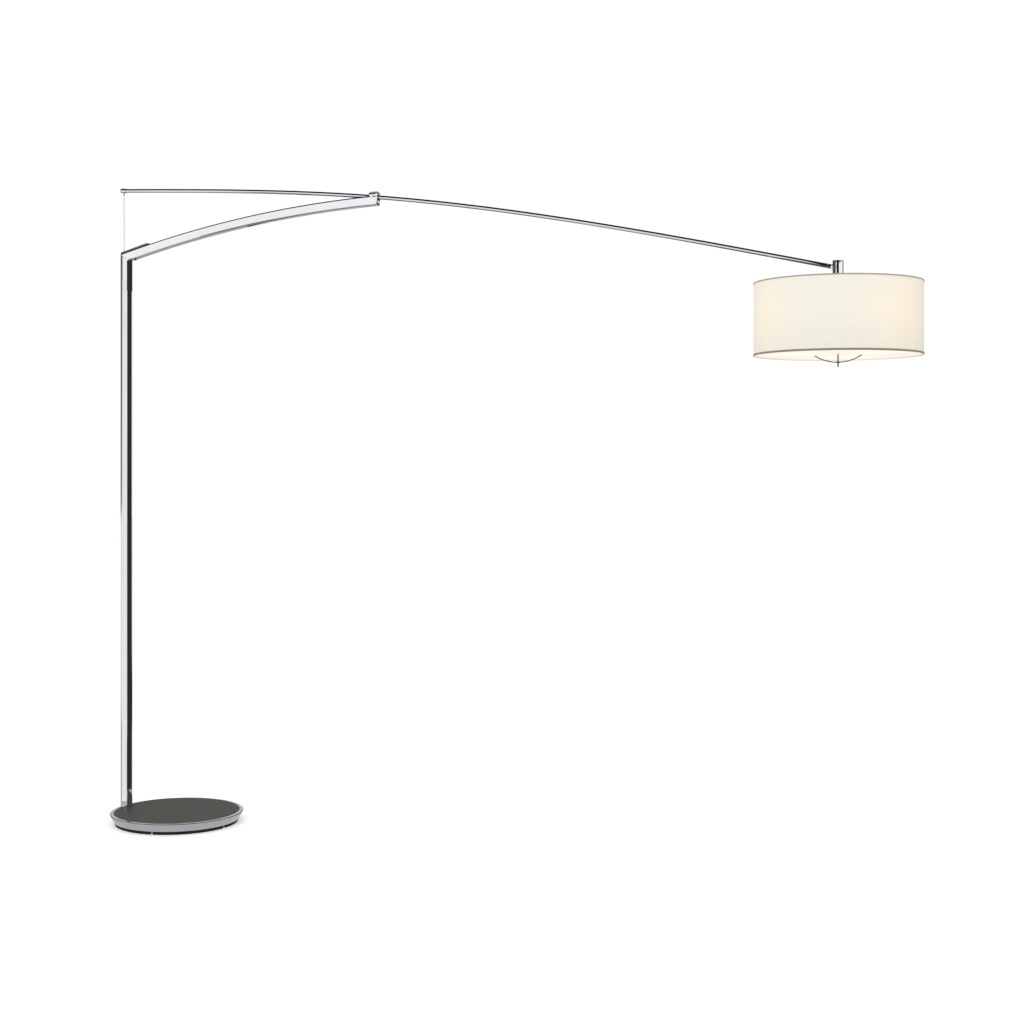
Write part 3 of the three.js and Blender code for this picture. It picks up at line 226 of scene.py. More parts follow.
# Moulded nylon, or glazed porcelain with a coat: one even colour with a 1.4 mm orange peel.
def makePlastic(name, low, high, rough, **constants):
    material, tree, shader, place = startMaterial(name, IOR=1.5, **constants)
    cloud = addNode(tree, "TexNoise", {"Vector": place, "Scale": 40, "Detail": 5}).outputs["Fac"]
    tree.links.new(tintBetween(tree, cloud, low, high), shader.inputs["Base Color"])
    tree.links.new(spreadValue(tree, cloud, rough, rough + 0.1), shader.inputs["Roughness"])
    orange = addNode(tree, "TexNoise", {"Vector": place, "Scale": 700, "Detail": 2}).outputs["Fac"]
    bumpFrom(tree, shader, orange, 0.00002, 0.4)
    return material


# Sand-cast iron: dark and rough, with 14 mm blotches and 1.2 mm sand marks.
def makeCastIron(name):
    material, tree, shader, place = startMaterial(name, Metallic=0.7)
    cloud = addNode(tree, "TexNoise", {"Vector": place, "Scale": 70, "Detail": 9, "Roughness": 0.7}).outputs["Fac"]
    tree.links.new(tintBetween(tree, cloud, "#2B2B2C", "#4B4A48"), shader.inputs["Base Color"])
    tree.links.new(spreadValue(tree, cloud, 0.55, 0.85), shader.inputs["Roughness"])
    sand = addNode(tree, "TexNoise", {"Vector": place, "Scale": 800, "Detail": 4}).outputs["Fac"]
    bumpFrom(tree, shader, sand, 0.0003, 0.7)
    return material


def weaveHeight(tree, threads):  # plain weave, threads to a metre, on a UV map that is in metres
    across = addNode(tree, "UVMap").outputs["UV"]
    split = addNode(tree, "SeparateXYZ", {"Vector": across})
    waves = []
    for axis in ("X", "Y"):
        turns = addNode(tree, "Math", {0: split.outputs[axis], 1: threads * math.pi}, operation="MULTIPLY").outputs[0]
        waves.append(addNode(tree, "Math", {0: turns}, operation="SINE").outputs[0])
    over = addNode(tree, "Math", {0: waves[0], 1: waves[1]}, operation="MULTIPLY").outputs[0]
    warp, weft = [addNode(tree, "Math", {0: w}, operation="ABSOLUTE").outputs[0] for w in waves]
    sign = addNode(tree, "Math", {0: over}, operation="SIGN").outputs[0]
    upper = addNode(tree, "MapRange", {"Value": sign, "From Min": -1}).outputs["Result"]
    mixed = addNode(tree, "Mix", {"Factor": upper}, data_type="FLOAT")
    tree.links.new(warp, mixed.inputs[2])
    tree.links.new(weft, mixed.inputs[3])
    return mixed.outputs[0], across


# the painted glow of the shade cloth: its even and warm colours, the size and strength of the painted spots by each
# lamp, the strength of the even painted glow, the share of it left at the bottom, and the cloth's own two tones
paintedClothGlow = {"even": "#FFFCF3", "warmth": "#FFE9C6", "spotSize": 0.095,
             "spotStrength": 0.15, "evenStrength": 0.33, "lowerShare": 0.86,
             "clothDark": "#CAC5B9", "clothLight": "#D4CFC5"}


# Woven cloth laminated on a stiff liner, with slubs along the weft. The lamps' light through it is a painted glow:
# even, but with warm painted spots by the lamps, and fainter towards the bottom and towards its edges. Its threads are
# 0.9 mm apart, coarser than real ones, so that they show.
def makeShadeFabric(name):
    material, tree, shader, place = startMaterial(name, Sheen_Weight=0.25, Sheen_Roughness=0.5, Specular_IOR_Level=0.2)
    weave, across = weaveHeight(tree, 1150)
    slubMap = addNode(tree, "Mapping", {"Vector": across, "Scale": (9, 420, 1)}).outputs["Vector"]
    slub = addNode(tree, "TexNoise", {"Vector": slubMap, "Scale": 1.0, "Detail": 4}).outputs["Fac"]
    tone = tintBetween(tree, slub, paintedClothGlow["clothDark"], paintedClothGlow["clothLight"])
    thread = addNode(tree, "Mix", {"Factor": 0.12}, data_type="RGBA", blend_type="MULTIPLY")
    tree.links.new(tone, thread.inputs[6])
    tree.links.new(addRamp(tree, weave, [(0, 0.2), (1, 1.0)]), thread.inputs[7])
    tree.links.new(thread.outputs[2], shader.inputs["Base Color"])
    tree.links.new(spreadValue(tree, slub, 0.82, 0.95), shader.inputs["Roughness"])
    bumpFrom(tree, shader, weave, 0.00025, 0.6)
    # painted light: the lamps show as soft warm painted spots of glow on the cloth beside them
    lampHeight = centreOf("bulb_1").z
    glow = None
    for angle in lampAngles:
        turn = math.radians(angle)
        spot = Vector((headPin.x + 0.24 * math.cos(turn), 0.24 * math.sin(turn), lampHeight))
        away = addNode(tree, "VectorMath", {0: place, 1: spot}, operation="DISTANCE").outputs["Value"]
        near = addNode(tree, "Math", {0: away, 1: paintedClothGlow["spotSize"]}, operation="DIVIDE").outputs[0]
        square = addNode(tree, "Math", {0: near, 1: 2.0}, operation="POWER").outputs[0]
        fade = addNode(tree, "Math", {0: square, 1: -0.5}, operation="MULTIPLY").outputs[0]
        lit = addNode(tree, "Math", {0: fade}, operation="EXPONENT").outputs[0]
        glow = lit if glow is None else addNode(tree, "Math", {0: glow, 1: lit}, operation="ADD").outputs[0]
    colour = tintBetween(tree, glow, paintedClothGlow["even"], paintedClothGlow["warmth"])
    tree.links.new(colour, shader.inputs["Emission Color"])
    strength = spreadValue(tree, glow, paintedClothGlow["evenStrength"], paintedClothGlow["evenStrength"] + paintedClothGlow["spotStrength"])
    drumLow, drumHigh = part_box("shade_drum")
    height = addNode(tree, "SeparateXYZ", {"Vector": place}).outputs["Z"]
    # painted shade: the painted glow is made fainter towards the bottom of the drum
    paintedBottomFade = addNode(tree, "MapRange", {
        "Value": height, "From Min": drumLow.z, "From Max": drumLow.z * 0.4 + drumHigh.z * 0.6,
        "To Min": paintedClothGlow["lowerShare"], "To Max": 1.0}, interpolation_type="SMOOTHSTEP").outputs["Result"]
    fainter = addNode(tree, "Math", {0: strength, 1: paintedBottomFade}, operation="MULTIPLY").outputs[0]
    # painted shade: the painted glow is made fainter where the cloth turns away from the eye, at its edges
    paintedEdgeFade = spreadValue(tree, addNode(tree, "LayerWeight", {"Blend": 0.25}).outputs["Facing"], 1.0, 0.55)
    power = addNode(tree, "Math", {0: fainter, 1: paintedEdgeFade}, operation="MULTIPLY").outputs[0]
    tree.links.new(power, shader.inputs["Emission Strength"])
    return material


# Woven cotton tape: matt, with threads 0.7 mm apart and slubs of 4 mm.
def makeTrimTape(name, dark, light):
    material, tree, shader, place = startMaterial(name, Sheen_Weight=0.2, Specular_IOR_Level=0.25)
    weave, across = weaveHeight(tree, 1500)
    slub = addNode(tree, "TexNoise", {"Vector": across, "Scale": 240, "Detail": 4}).outputs["Fac"]
    tree.links.new(tintBetween(tree, slub, dark, light), shader.inputs["Base Color"])
    tree.links.new(spreadValue(tree, slub, 0.75, 0.92), shader.inputs["Roughness"])
    bumpFrom(tree, shader, weave, 0.0002, 0.7)
    return material


# Opal acrylic, sanded fine: a soft even white, with the lamps' light through it painted on as a glow that is brighter
# under each lamp.
def makeOpal(name):
    material, tree, shader, place = startMaterial(name, Roughness=0.32, IOR=1.49, Subsurface_Weight=0.15)
    cloud = addNode(tree, "TexNoise", {"Vector": place, "Scale": 12, "Detail": 3}).outputs["Fac"]
    tree.links.new(tintBetween(tree, cloud, "#C4BFB2", "#CCC7BB"), shader.inputs["Base Color"])
    # painted light: the glow from the lamps above, brightest under each lamp
    glow = None
    for angle in lampAngles:
        turn = math.radians(angle)
        spot = Vector((headPin.x + 0.12 * math.cos(turn), 0.12 * math.sin(turn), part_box("diffuser")[0].z))
        away = addNode(tree, "VectorMath", {0: place, 1: spot}, operation="DISTANCE").outputs["Value"]
        lit = addNode(tree, "MapRange", {"Value": away, "From Min": 0.03, "From Max": 0.16, "To Min": 1.0,
                                         "To Max": 0.0}, interpolation_type="SMOOTHSTEP").outputs["Result"]
        glow = lit if glow is None else addNode(tree, "Math", {0: glow, 1: lit}, operation="MAXIMUM").outputs[0]
    tree.links.new(tintBetween(tree, glow, "#FFF6E6", "#FFFAEE"), shader.inputs["Emission Color"])
    tree.links.new(spreadValue(tree, glow, 0.52, 0.6), shader.inputs["Emission Strength"])
    sanded = addNode(tree, "TexNoise", {"Vector": place, "Scale": 900, "Detail": 2}).outputs["Fac"]
    bumpFrom(tree, shader, sanded, 0.00002, 0.3)
    return material


# Glass frosted on its inside: a warm glow, a little uneven.
def makeBulbGlass(name):
    material, tree, shader, place = startMaterial(name, Roughness=0.25, IOR=1.5, Coat_Weight=0.5)
    frost = addNode(tree, "TexNoise", {"Vector": place, "Scale": 90, "Detail": 4}).outputs["Fac"]
    tree.links.new(tintBetween(tree, frost, "#FFF0D4", "#FFF7E6"), shader.inputs["Base Color"])
    tree.links.new(tintBetween(tree, frost, "#FFD9A0", "#FFE6BE"), shader.inputs["Emission Color"])
    tree.links.new(spreadValue(tree, frost, 1.6, 2.2), shader.inputs["Emission Strength"])
    return material


chrome = makeChrome("polishedChrome", "#DCDEE2", "#E9EBEE", 0.035, 0.035)
rimChrome = makeChrome("satinChrome", "#BFC2C4", "#D2D5D7", 0.14, 0.1)
oliveLacquer = makeLacquer("oliveGreyLacquer", "#5E5F52", "#86877A")
bareSteel = makeBareSteel("turnedSteel", (1, 1, 8))
cableWire = makeStrandedCable("strandedSteelCable")
coverLeather = makeCoverLeather("darkGrainedLeather")
blackRubber = makeRubber("mattBlackRubber", "#101010", "#1D1D1D")
leadSheath = makeRubber("leadSheath", "#161617", "#242425", 0.6)
clearNylon = makePlastic("clearNylon", "#8F9291", "#A9ACAB", 0.35)
whiteNylon = makePlastic("whiteNylon", "#DEDBD1", "#EAE7DF", 0.5)
porcelain = makePlastic("glazedPorcelain", "#EDEDE9", "#F6F6F3", 0.15, Coat_Weight=0.6)
castIron = makeCastIron("sandCastIron")
shadeCloth = makeShadeFabric("creamShadeCloth")
trimTape = makeTrimTape("taupeTape", "#7C745F", "#968E78")
edgeTape = makeTrimTape("sandTape", "#A39A84", "#B9B09B")
bowWire = makeBareSteel("darkNickelWire", (8, 1, 1), "#3E3A33", "#7D776C")
opal = makeOpal("opalAcrylic")
bulbGlass = makeBulbGlass("frostedWarmBulb")
print("finishes made")


def roundEdges(bm, width, segments=3, above=30, chosen=None):
    edges = [e for e in bm.edges if len(e.link_faces) == 2 and e.calc_face_angle(0) > math.radians(above)]
    if chosen:
        edges = [e for e in edges if chosen(e)]
    bmesh.ops.bevel(bm, geom=edges, offset=width, offset_type="OFFSET", segments=segments, profile=0.5,
                    affect="EDGES", clamp_overlap=True, material=-1)


def spinProfile(bm, points, steps=96):  # points are (radius, height): closed, or with both ends on the axis
    verts = [bm.verts.new((r, 0, z)) for r, z in points]
    edges = [bm.edges.new(pair) for pair in zip(verts, verts[1:])]
    if points[0][0] > 0:
        edges.append(bm.edges.new((verts[-1], verts[0])))
    bmesh.ops.spin(bm, geom=verts + edges, cent=(0, 0, 0), axis=(0, 0, 1), angle=2 * math.pi, steps=steps,
                   use_merge=True, use_duplicate=False)
    bmesh.ops.remove_doubles(bm, verts=bm.verts, dist=1e-6)
    bmesh.ops.recalc_face_normals(bm, faces=bm.faces)


def spinRing(bm, inner, outer, low, high, steps):  # a disc or rod where inner is 0
    spinProfile(bm, [(inner, low), (outer, low), (outer, high), (inner, high)], steps)


def wireRing(radius, height):
    wire = {"radius": 0.002, "sides": 14, "steps": 160}
    bm = bmesh.new()
    made = bmesh.ops.create_circle(bm, segments=wire["sides"], radius=wire["radius"])
    bmesh.ops.rotate(bm, cent=(0, 0, 0), matrix=Matrix.Rotation(math.pi / 2, 3, "X"), verts=made["verts"])
    bmesh.ops.translate(bm, vec=(radius, 0, height), verts=made["verts"])
    bmesh.ops.spin(bm, geom=list(bm.verts) + list(bm.edges), cent=(0, 0, 0), axis=(0, 0, 1), angle=2 * math.pi,
                   steps=wire["steps"], use_merge=True, use_duplicate=False)
    return bm


def cutLevels(bm, heights):  # new edges round the piece, so that it can bend or be pinched there
    for height in heights:
        bmesh.ops.bisect_plane(bm, geom=list(bm.verts) + list(bm.edges) + list(bm.faces), dist=1e-7,
                               plane_co=(0, 0, height), plane_no=(0, 0, 1))


def squareRing(bm, width, corner, segments=7):  # a wire square with round corners, flat on the ground plane
    made = bmesh.ops.create_grid(bm, x_segments=1, y_segments=1, size=width / 2)
    bmesh.ops.bevel(bm, geom=made["verts"], offset=corner, offset_type="OFFSET", segments=segments, profile=0.5,
                    affect="VERTICES", clamp_overlap=True, material=-1)
    bmesh.ops.delete(bm, geom=list(bm.faces), context="FACES_ONLY")
    return list(bm.verts) + list(bm.edges)


def boxBetween(bm, low, high):
    low, high = Vector(low), Vector(high)
    made = bmesh.ops.create_cube(bm, size=1)
    bmesh.ops.scale(bm, vec=high - low, verts=made["verts"])
    bmesh.ops.translate(bm, vec=(low + high) / 2, verts=made["verts"])
    return made["verts"]


def rodBetween(bm, start, end, radius, segments=32):
    start, end = Vector(start), Vector(end)
    turn = Vector((0, 0, 1)).rotation_difference(end - start).to_matrix().to_4x4()
    made = bmesh.ops.create_cone(bm, cap_ends=True, segments=segments, radius1=radius, radius2=radius,
                                 depth=(end - start).length, matrix=Matrix.Translation((start + end) / 2) @ turn)
    return made["verts"]


def looseObject(bm, name):
    mesh = bpy.data.meshes.new(name)
    bm.to_mesh(mesh)
    bm.free()
    made = bpy.data.objects.new(name, mesh)
    bpy.context.scene.collection.objects.link(made)
    return made


def carve(bm, cutters):  # takes the cutters' shapes out of the piece
    body = looseObject(bm, "carved")
    tools = [looseObject(cutter, "cutter") for cutter in cutters]
    for tool in tools:
        step = body.modifiers.new("cut", "BOOLEAN")
        step.operation = "DIFFERENCE"
        step.solver = "EXACT"
        step.object = tool
    shaped = body.evaluated_get(bpy.context.evaluated_depsgraph_get())
    result = bmesh.new()
    result.from_mesh(shaped.to_mesh())
    shaped.to_mesh_clear()
    for o in [body] + tools:
        mesh = o.data
        bpy.data.objects.remove(o)
        bpy.data.meshes.remove(mesh)
    bmesh.ops.remove_doubles(result, verts=result.verts, dist=1e-6)
    return result


def cutterBox(low, high):
    bm = bmesh.new()
    boxBetween(bm, low, high)
    return bm


def cutterRod(start, end, radius):
    bm = bmesh.new()
    rodBetween(bm, start, end, radius)
    return bm


def shadeSmooth(piece, sharp):
    piece.data.polygons.foreach_set("use_smooth", [True] * len(piece.data.polygons))
    piece.data.set_sharp_from_angle(angle=math.radians(sharp))


def finishPiece(bm, name, body, material, node, place=None, turn=None, sharp=32):
    if turn is not None:
        bmesh.ops.transform(bm, matrix=turn, verts=bm.verts)
    if place is not None:
        bmesh.ops.translate(bm, vec=place, verts=bm.verts)
    bmesh.ops.recalc_face_normals(bm, faces=bm.faces)
    piece = looseObject(bm, name)
    shadeSmooth(piece, sharp)
    piece.data.materials.append(material)
    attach(piece, body)
    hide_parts(node)
    return piece


def clothMap(piece, axisX, radius):  # a UV map in metres: round the drum and up it
    layer = piece.data.uv_layers.new(name="cloth")
    mesh = piece.data
    for face in mesh.polygons:
        middle = math.atan2(face.center.y, face.center.x - axisX)
        for loop in face.loop_indices:
            point = mesh.vertices[mesh.loops[loop].vertex_index].co
            turn = math.atan2(point.y, point.x - axisX)
            turn += 2 * math.pi * round((middle - turn) / (2 * math.pi))
            layer.data[loop].uv = (turn * radius, point.z)


def keepNodes(material, *nodes):  # CAD pieces that only need their finish
    for node in nodes:
        mesh = frame["nodes"][node].data
        mesh.materials.clear()
        mesh.materials.append(material)


def sweepTube(name, points, radius, smooth=10):  # a closed rod along points
    line = bpy.data.curves.new(name, "CURVE")
    line.dimensions = "3D"
    line.bevel_depth = radius
    line.bevel_resolution = smooth
    line.use_fill_caps = True
    spline = line.splines.new("POLY")
    spline.points.add(len(points) - 1)
    for p, at in zip(spline.points, points):
        p.co = (*at, 1)
    made = bpy.data.objects.new(name, line)
    bpy.context.scene.collection.objects.link(made)
    shaped = made.evaluated_get(bpy.context.evaluated_depsgraph_get())
    bm = bmesh.new()
    bm.from_mesh(shaped.to_mesh())
    shaped.to_mesh_clear()
    bpy.data.objects.remove(made)
    bpy.data.curves.remove(line)
    bmesh.ops.remove_doubles(bm, verts=bm.verts, dist=1e-7)
    return bm


base = {"radius": 0.218, "height": 0.037, "taper": 0.014, "land": 0.013, "edge": 0.0016,
        "underGap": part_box("base_rim")[0].z, "wall": 0.002, "coverRecess": 0.0004, "coverThick": 0.0034,
        "steps": 160, "notchPlay": 0.00045, "notchDepth": 0.006}


def postNotch():
    low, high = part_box("post_tube")
    bm = bmesh.new()
    ring = squareRing(bm, high.x - low.x + 2 * base["notchPlay"], 0.005)
    edges = [e for e in ring if isinstance(e, bmesh.types.BMEdge)]
    grown = bmesh.ops.extrude_edge_only(bm, edges=edges)
    bmesh.ops.translate(bm, vec=(0, 0, 0.03), verts=[v for v in grown["geom"] if isinstance(v, bmesh.types.BMVert)])
    bmesh.ops.holes_fill(bm, edges=bm.edges, sides=0)
    bmesh.ops.translate(bm, vec=(postX, 0, base["height"] - base["notchDepth"]), verts=bm.verts)
    bmesh.ops.recalc_face_normals(bm, faces=bm.faces)
    return bm


def makeRim():
    low = base["radius"] - base["taper"]
    under = base["height"] - base["coverRecess"] - base["coverThick"]
    slope = base["taper"] / (base["height"] - base["edge"] - base["underGap"])
    bm = bmesh.new()
    spinProfile(bm, [
        (low, base["underGap"]),
        (base["radius"], base["height"] - base["edge"]),
        (base["radius"] - base["edge"], base["height"]),
        (base["radius"] - base["land"], base["height"]),
        (base["radius"] - base["land"], under),
        (low - base["wall"] + slope * (under - base["underGap"]), under),
        (low - base["wall"], base["underGap"]),
    ], base["steps"])
    roundEdges(bm, 0.0005, 3, 25)
    bm = carve(bm, [postNotch()])
    finishPiece(bm, "baseRim", "mast", rimChrome, "base_rim")


def makeCover():
    top = base["height"] - base["coverRecess"]
    under = top - base["coverThick"]
    radius = base["radius"] - base["land"] - gap
    bm = bmesh.new()
    spinProfile(bm, [(0, under), (radius, under), (radius, top), (radius - 0.012, top), (0, top)], base["steps"])
    roundEdges(bm, 0.001, 4, 60)
    bm = carve(bm, [postNotch()])
    finishPiece(bm, "baseCover", "mast", coverLeather, "base_cover")


glide = {"count": 5, "footHeight": 0.005, "stemRadius": 0.003}


def makePad():
    low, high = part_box("base_pad")
    bm = bmesh.new()
    spinRing(bm, 0, (high.x - low.x) / 2, 0, high.z, 128)
    roundEdges(bm, 0.0009, 3, 60)
    glideLow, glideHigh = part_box("base_glide_1")
    pocketRadius = (glideHigh.x - glideLow.x) / 2 + gap
    pockets = []
    for i in range(1, glide["count"] + 1):
        at = centreOf(f"base_glide_{i}")
        pockets.append(cutterRod((at.x, at.y, -0.005), (at.x, at.y, 0.02), pocketRadius))
    bm = carve(bm, pockets)
    finishPiece(bm, "basePad", "mast", blackRubber, "base_pad")


def makeGlides():
    stem, step = glide["stemRadius"], glide["footHeight"]
    for i in range(1, glide["count"] + 1):
        at = centreOf(f"base_glide_{i}")
        low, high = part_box(f"base_glide_{i}")
        foot = (high.x - low.x) / 2
        bm = bmesh.new()
        spinProfile(bm, [(0, 0), (foot, 0), (foot, step), (stem, step), (stem, high.z), (0, high.z)], 40)
        roundEdges(bm, 0.0008, 3, 60)
        finishPiece(bm, f"baseGlide{i}", "mast", clearNylon, f"base_glide_{i}", (at.x, at.y, 0))


gland = {"angle": 150, "height": 0.020, "bore": 0.0032, "radius": 0.006, "flange": 0.009,
         "flangeThick": 0.0022, "inner": 0.184, "face": 0.2153, "outer": 0.2203}


def makeGland():
    bore, radius, flange, face = gland["bore"], gland["radius"], gland["flange"], gland["face"]
    bm = bmesh.new()
    spinProfile(bm, [(bore, gland["inner"]), (radius, gland["inner"]), (radius, face), (flange, face),
                     (flange, face + gland["flangeThick"]), (radius, gland["outer"]), (bore, gland["outer"])], 40)
    roundEdges(bm, 0.0004, 2, 30)
    turn = Matrix.Rotation(math.radians(gland["angle"]), 4, "Z") @ Matrix.Rotation(math.pi / 2, 4, "Y")
    finishPiece(bm, "leadGland", "mast", blackRubber, "lead_gland", (0, 0, gland["height"]), turn)


makeRim()
makeCover()
makePad()
makeGlides()
makeGland()
keepNodes(castIron, "base_ballast")
keepNodes(bareSteel, "post_bolt", "post_bolt_washer", "post_foot_block")
print("base made")


tube = {"width": 0.031, "corner": 0.005, "wall": 0.002, "cornerHeight": 1.8797, "reach": 0.926,
        "startSlope": math.radians(15.4), "endSlope": math.radians(2), "armSteps": 60, "seam": 0.0004,
        "slotLength": 0.29, "slotUnder": 0.00775}
fork = {"rise": 0.013, "back": 0.0126, "half": 0.0135, "slotHalf": 0.0097, "floor": 0.0132, "hole": 0.0033}
plate = {"half": 0.0135, "thick": 0.005, "cableHole": 0.0039, "screwHole": 0.0021}
arcRadius = tube["reach"] / (math.sin(tube["startSlope"]) - math.sin(tube["endSlope"]))
mitreTilt = math.atan2(math.cos(tube["startSlope"]), 1 + math.sin(tube["startSlope"]))
mitreNormal = Matrix.Rotation(mitreTilt, 3, "Y") @ Vector((0, 0, 1))
corner = Vector((postX, 0, tube["cornerHeight"]))


def trimMitre(bm, side):  # cuts the tube at the mitre plane and closes the cut wall
    made = bmesh.ops.bisect_plane(bm, geom=list(bm.verts) + list(bm.edges) + list(bm.faces), dist=1e-7,
                                  plane_co=corner + mitreNormal * tube["seam"] * side, plane_no=mitreNormal * side,
                                  clear_inner=True, clear_outer=False)
    edges = [e for e in made["geom_cut"] if isinstance(e, bmesh.types.BMEdge)]
    bmesh.ops.bridge_loops(bm, edges=edges)


def thickenWall(bm):
    bmesh.ops.recalc_face_normals(bm, faces=bm.faces)
    bmesh.ops.solidify(bm, geom=list(bm.faces), thickness=tube["wall"])


def plateHoles():  # cutters for the cable and the two screws, through the guide plate and the arm
    cableX = centreOf("boom_cable").x
    holes = [cutterRod((cableX, 0, corner.z), (cableX, 0, corner.z + 0.06), plate["cableHole"])]
    for i in (1, 2):
        at = centreOf(f"guide_plate_screw_{i}")
        holes.append(cutterRod((at.x, 0, at.z - 0.02), (at.x, 0, at.z + 0.02), plate["screwHole"]))
    return holes


def crossHole(at, radius):  # cutter for a pin or a pair of screws that runs from side to side
    return cutterRod((at.x, -0.03, at.z), (at.x, 0.03, at.z), radius)


def makePost():
    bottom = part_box("post_tube")[0].z
    bm = bmesh.new()
    squareRing(bm, tube["width"], tube["corner"])
    grown = bmesh.ops.extrude_edge_only(bm, edges=list(bm.edges))
    raised = [v for v in grown["geom"] if isinstance(v, bmesh.types.BMVert)]
    bmesh.ops.translate(bm, vec=(0, 0, 1.92 - bottom), verts=raised)
    bmesh.ops.translate(bm, vec=(postX, 0, bottom), verts=bm.verts)
    thickenWall(bm)
    trimMitre(bm, -1)
    finishPiece(bm, "postTube", "mast", chrome, "post_tube")


def makeArm():
    bm = bmesh.new()
    squareRing(bm, tube["width"], tube["corner"])
    upright = Matrix.Rotation(math.pi / 2 - tube["startSlope"], 4, "Y")
    lead = Vector((math.cos(tube["startSlope"]), 0, math.sin(tube["startSlope"]))) * 0.06
    bmesh.ops.transform(bm, matrix=Matrix.Translation(corner - lead) @ upright, verts=bm.verts)
    straight = bmesh.ops.extrude_edge_only(bm, edges=list(bm.edges))
    moved = [v for v in straight["geom"] if isinstance(v, bmesh.types.BMVert)]
    bmesh.ops.translate(bm, vec=lead, verts=moved)
    middle = corner + arcRadius * Vector((math.sin(tube["startSlope"]), 0, -math.cos(tube["startSlope"])))
    ends = [g for g in straight["geom"] if isinstance(g, (bmesh.types.BMVert, bmesh.types.BMEdge))]
    bmesh.ops.spin(bm, geom=ends, cent=middle, axis=(0, 1, 0), angle=tube["startSlope"] - tube["endSlope"],
                   steps=tube["armSteps"], use_merge=False, use_duplicate=False)
    bmesh.ops.remove_doubles(bm, verts=bm.verts, dist=1e-6)
    thickenWall(bm)
    trimMitre(bm, 1)
    forkStart = pivot.x - fork["back"]
    axisHeight = pivot.z - fork["rise"]
    top = axisHeight + tube["width"]
    bm = carve(bm, [
        cutterBox((forkStart - tube["slotLength"], -fork["slotHalf"], axisHeight - tube["slotUnder"]),
                  (pivot.x + 0.05, fork["slotHalf"], top)),
        cutterBox((forkStart, -fork["half"], axisHeight), (pivot.x + 0.05, fork["half"], top)),
        crossHole(pivot, fork["hole"]),
    ] + plateHoles())
    finishPiece(bm, "armTube", "mast", chrome, "arm_tube")


def makeGuidePlate():
    slope = tube["startSlope"]
    low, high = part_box("cable_guide_plate")
    length = (high.x - low.x) / math.cos(slope) - 0.0014
    bm = bmesh.new()
    boxBetween(bm, (0, -plate["half"], 0), (length, plate["half"], plate["thick"]))
    roundEdges(bm, 0.004, 5, 60, lambda e: abs(e.verts[0].co.z - e.verts[1].co.z) > 0.002)
    roundEdges(bm, 0.0009, 3, 60, lambda e: min(v.co.z for v in e.verts) > 0.004)
    start = Vector((low.x, 0, low.z)) + Vector((0.0006, 0, 0.0002))
    bmesh.ops.transform(bm, matrix=Matrix.Translation(start) @ Matrix.Rotation(-slope, 4, "Y"), verts=bm.verts)
    bm = carve(bm, plateHoles())
    finishPiece(bm, "cableGuidePlate", "mast", oliveLacquer, "cable_guide_plate")


plateScrew = {"shank": 0.0018, "head": 0.0034, "headHeight": 0.0018, "slotHalf": 0.0004, "slotDepth": 0.0008}


def makePlateScrews():
    shank, wide, slotHalf = plateScrew["shank"], plateScrew["head"], plateScrew["slotHalf"]
    for i in (1, 2):
        low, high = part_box(f"guide_plate_screw_{i}")
        bm = bmesh.new()
        top = high.z - low.z
        seat = top - plateScrew["headHeight"]
        spinProfile(bm, [(0, 0), (shank, 0), (shank, seat), (wide, seat), (wide - 0.0003, top - 0.0008),
                         (wide / 2, top - 0.0002), (0, top)], 32)
        bm = carve(bm, [cutterBox((-0.005, -slotHalf, top - plateScrew["slotDepth"]), (0.005, slotHalf, top + 0.002))])
        at = (centreOf(f"guide_plate_screw_{i}").x, 0, low.z)
        finishPiece(bm, f"plateScrew{i}", "mast", bareSteel, f"guide_plate_screw_{i}", at)


bush = {"bore": 0.0013, "radius": 0.0036, "flange": 0.005, "flangeThick": 0.0016}


def makeBush():
    low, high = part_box("cable_bush")
    top = high.z - low.z
    seat = top - bush["flangeThick"]
    bm = bmesh.new()
    spinProfile(bm, [(bush["bore"], 0), (bush["radius"], 0), (bush["radius"], seat), (bush["flange"], seat),
                     (bush["flange"], top - 0.0005), (0.0025, top), (bush["bore"], top - 0.0009)], 40)
    finishPiece(bm, "cableBush", "mast", whiteNylon, "cable_bush", (centreOf("cable_bush").x, 0, low.z))


def makeFork():
    low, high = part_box("pivot_fork")
    slotHalf = fork["slotHalf"]
    bm = bmesh.new()
    boxBetween(bm, low, high)
    roundEdges(bm, 0.003, 5, 60, lambda e: abs(e.verts[0].co.y - e.verts[1].co.y) > 0.01)
    roundEdges(bm, 0.0005, 2, 60)
    bm = carve(bm, [
        cutterBox((low.x - 0.02, -slotHalf, pivot.z - fork["floor"]), (high.x + 0.02, slotHalf, high.z + 0.02)),
        crossHole(pivot, fork["hole"]),
    ])
    finishPiece(bm, "pivotFork", "mast", chrome, "pivot_fork")


def makeForkCap():
    bm = bmesh.new()
    boxBetween(bm, *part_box("fork_cap"))
    roundEdges(bm, 0.0012, 4, 60)
    finishPiece(bm, "forkCap", "mast", chrome, "fork_cap")


pivotScrew = {"radius": 0.003, "head": 0.0046, "start": 0.0077, "seat": 0.0158, "end": 0.0176,
              "socket": 0.0017, "socketDepth": 0.001}


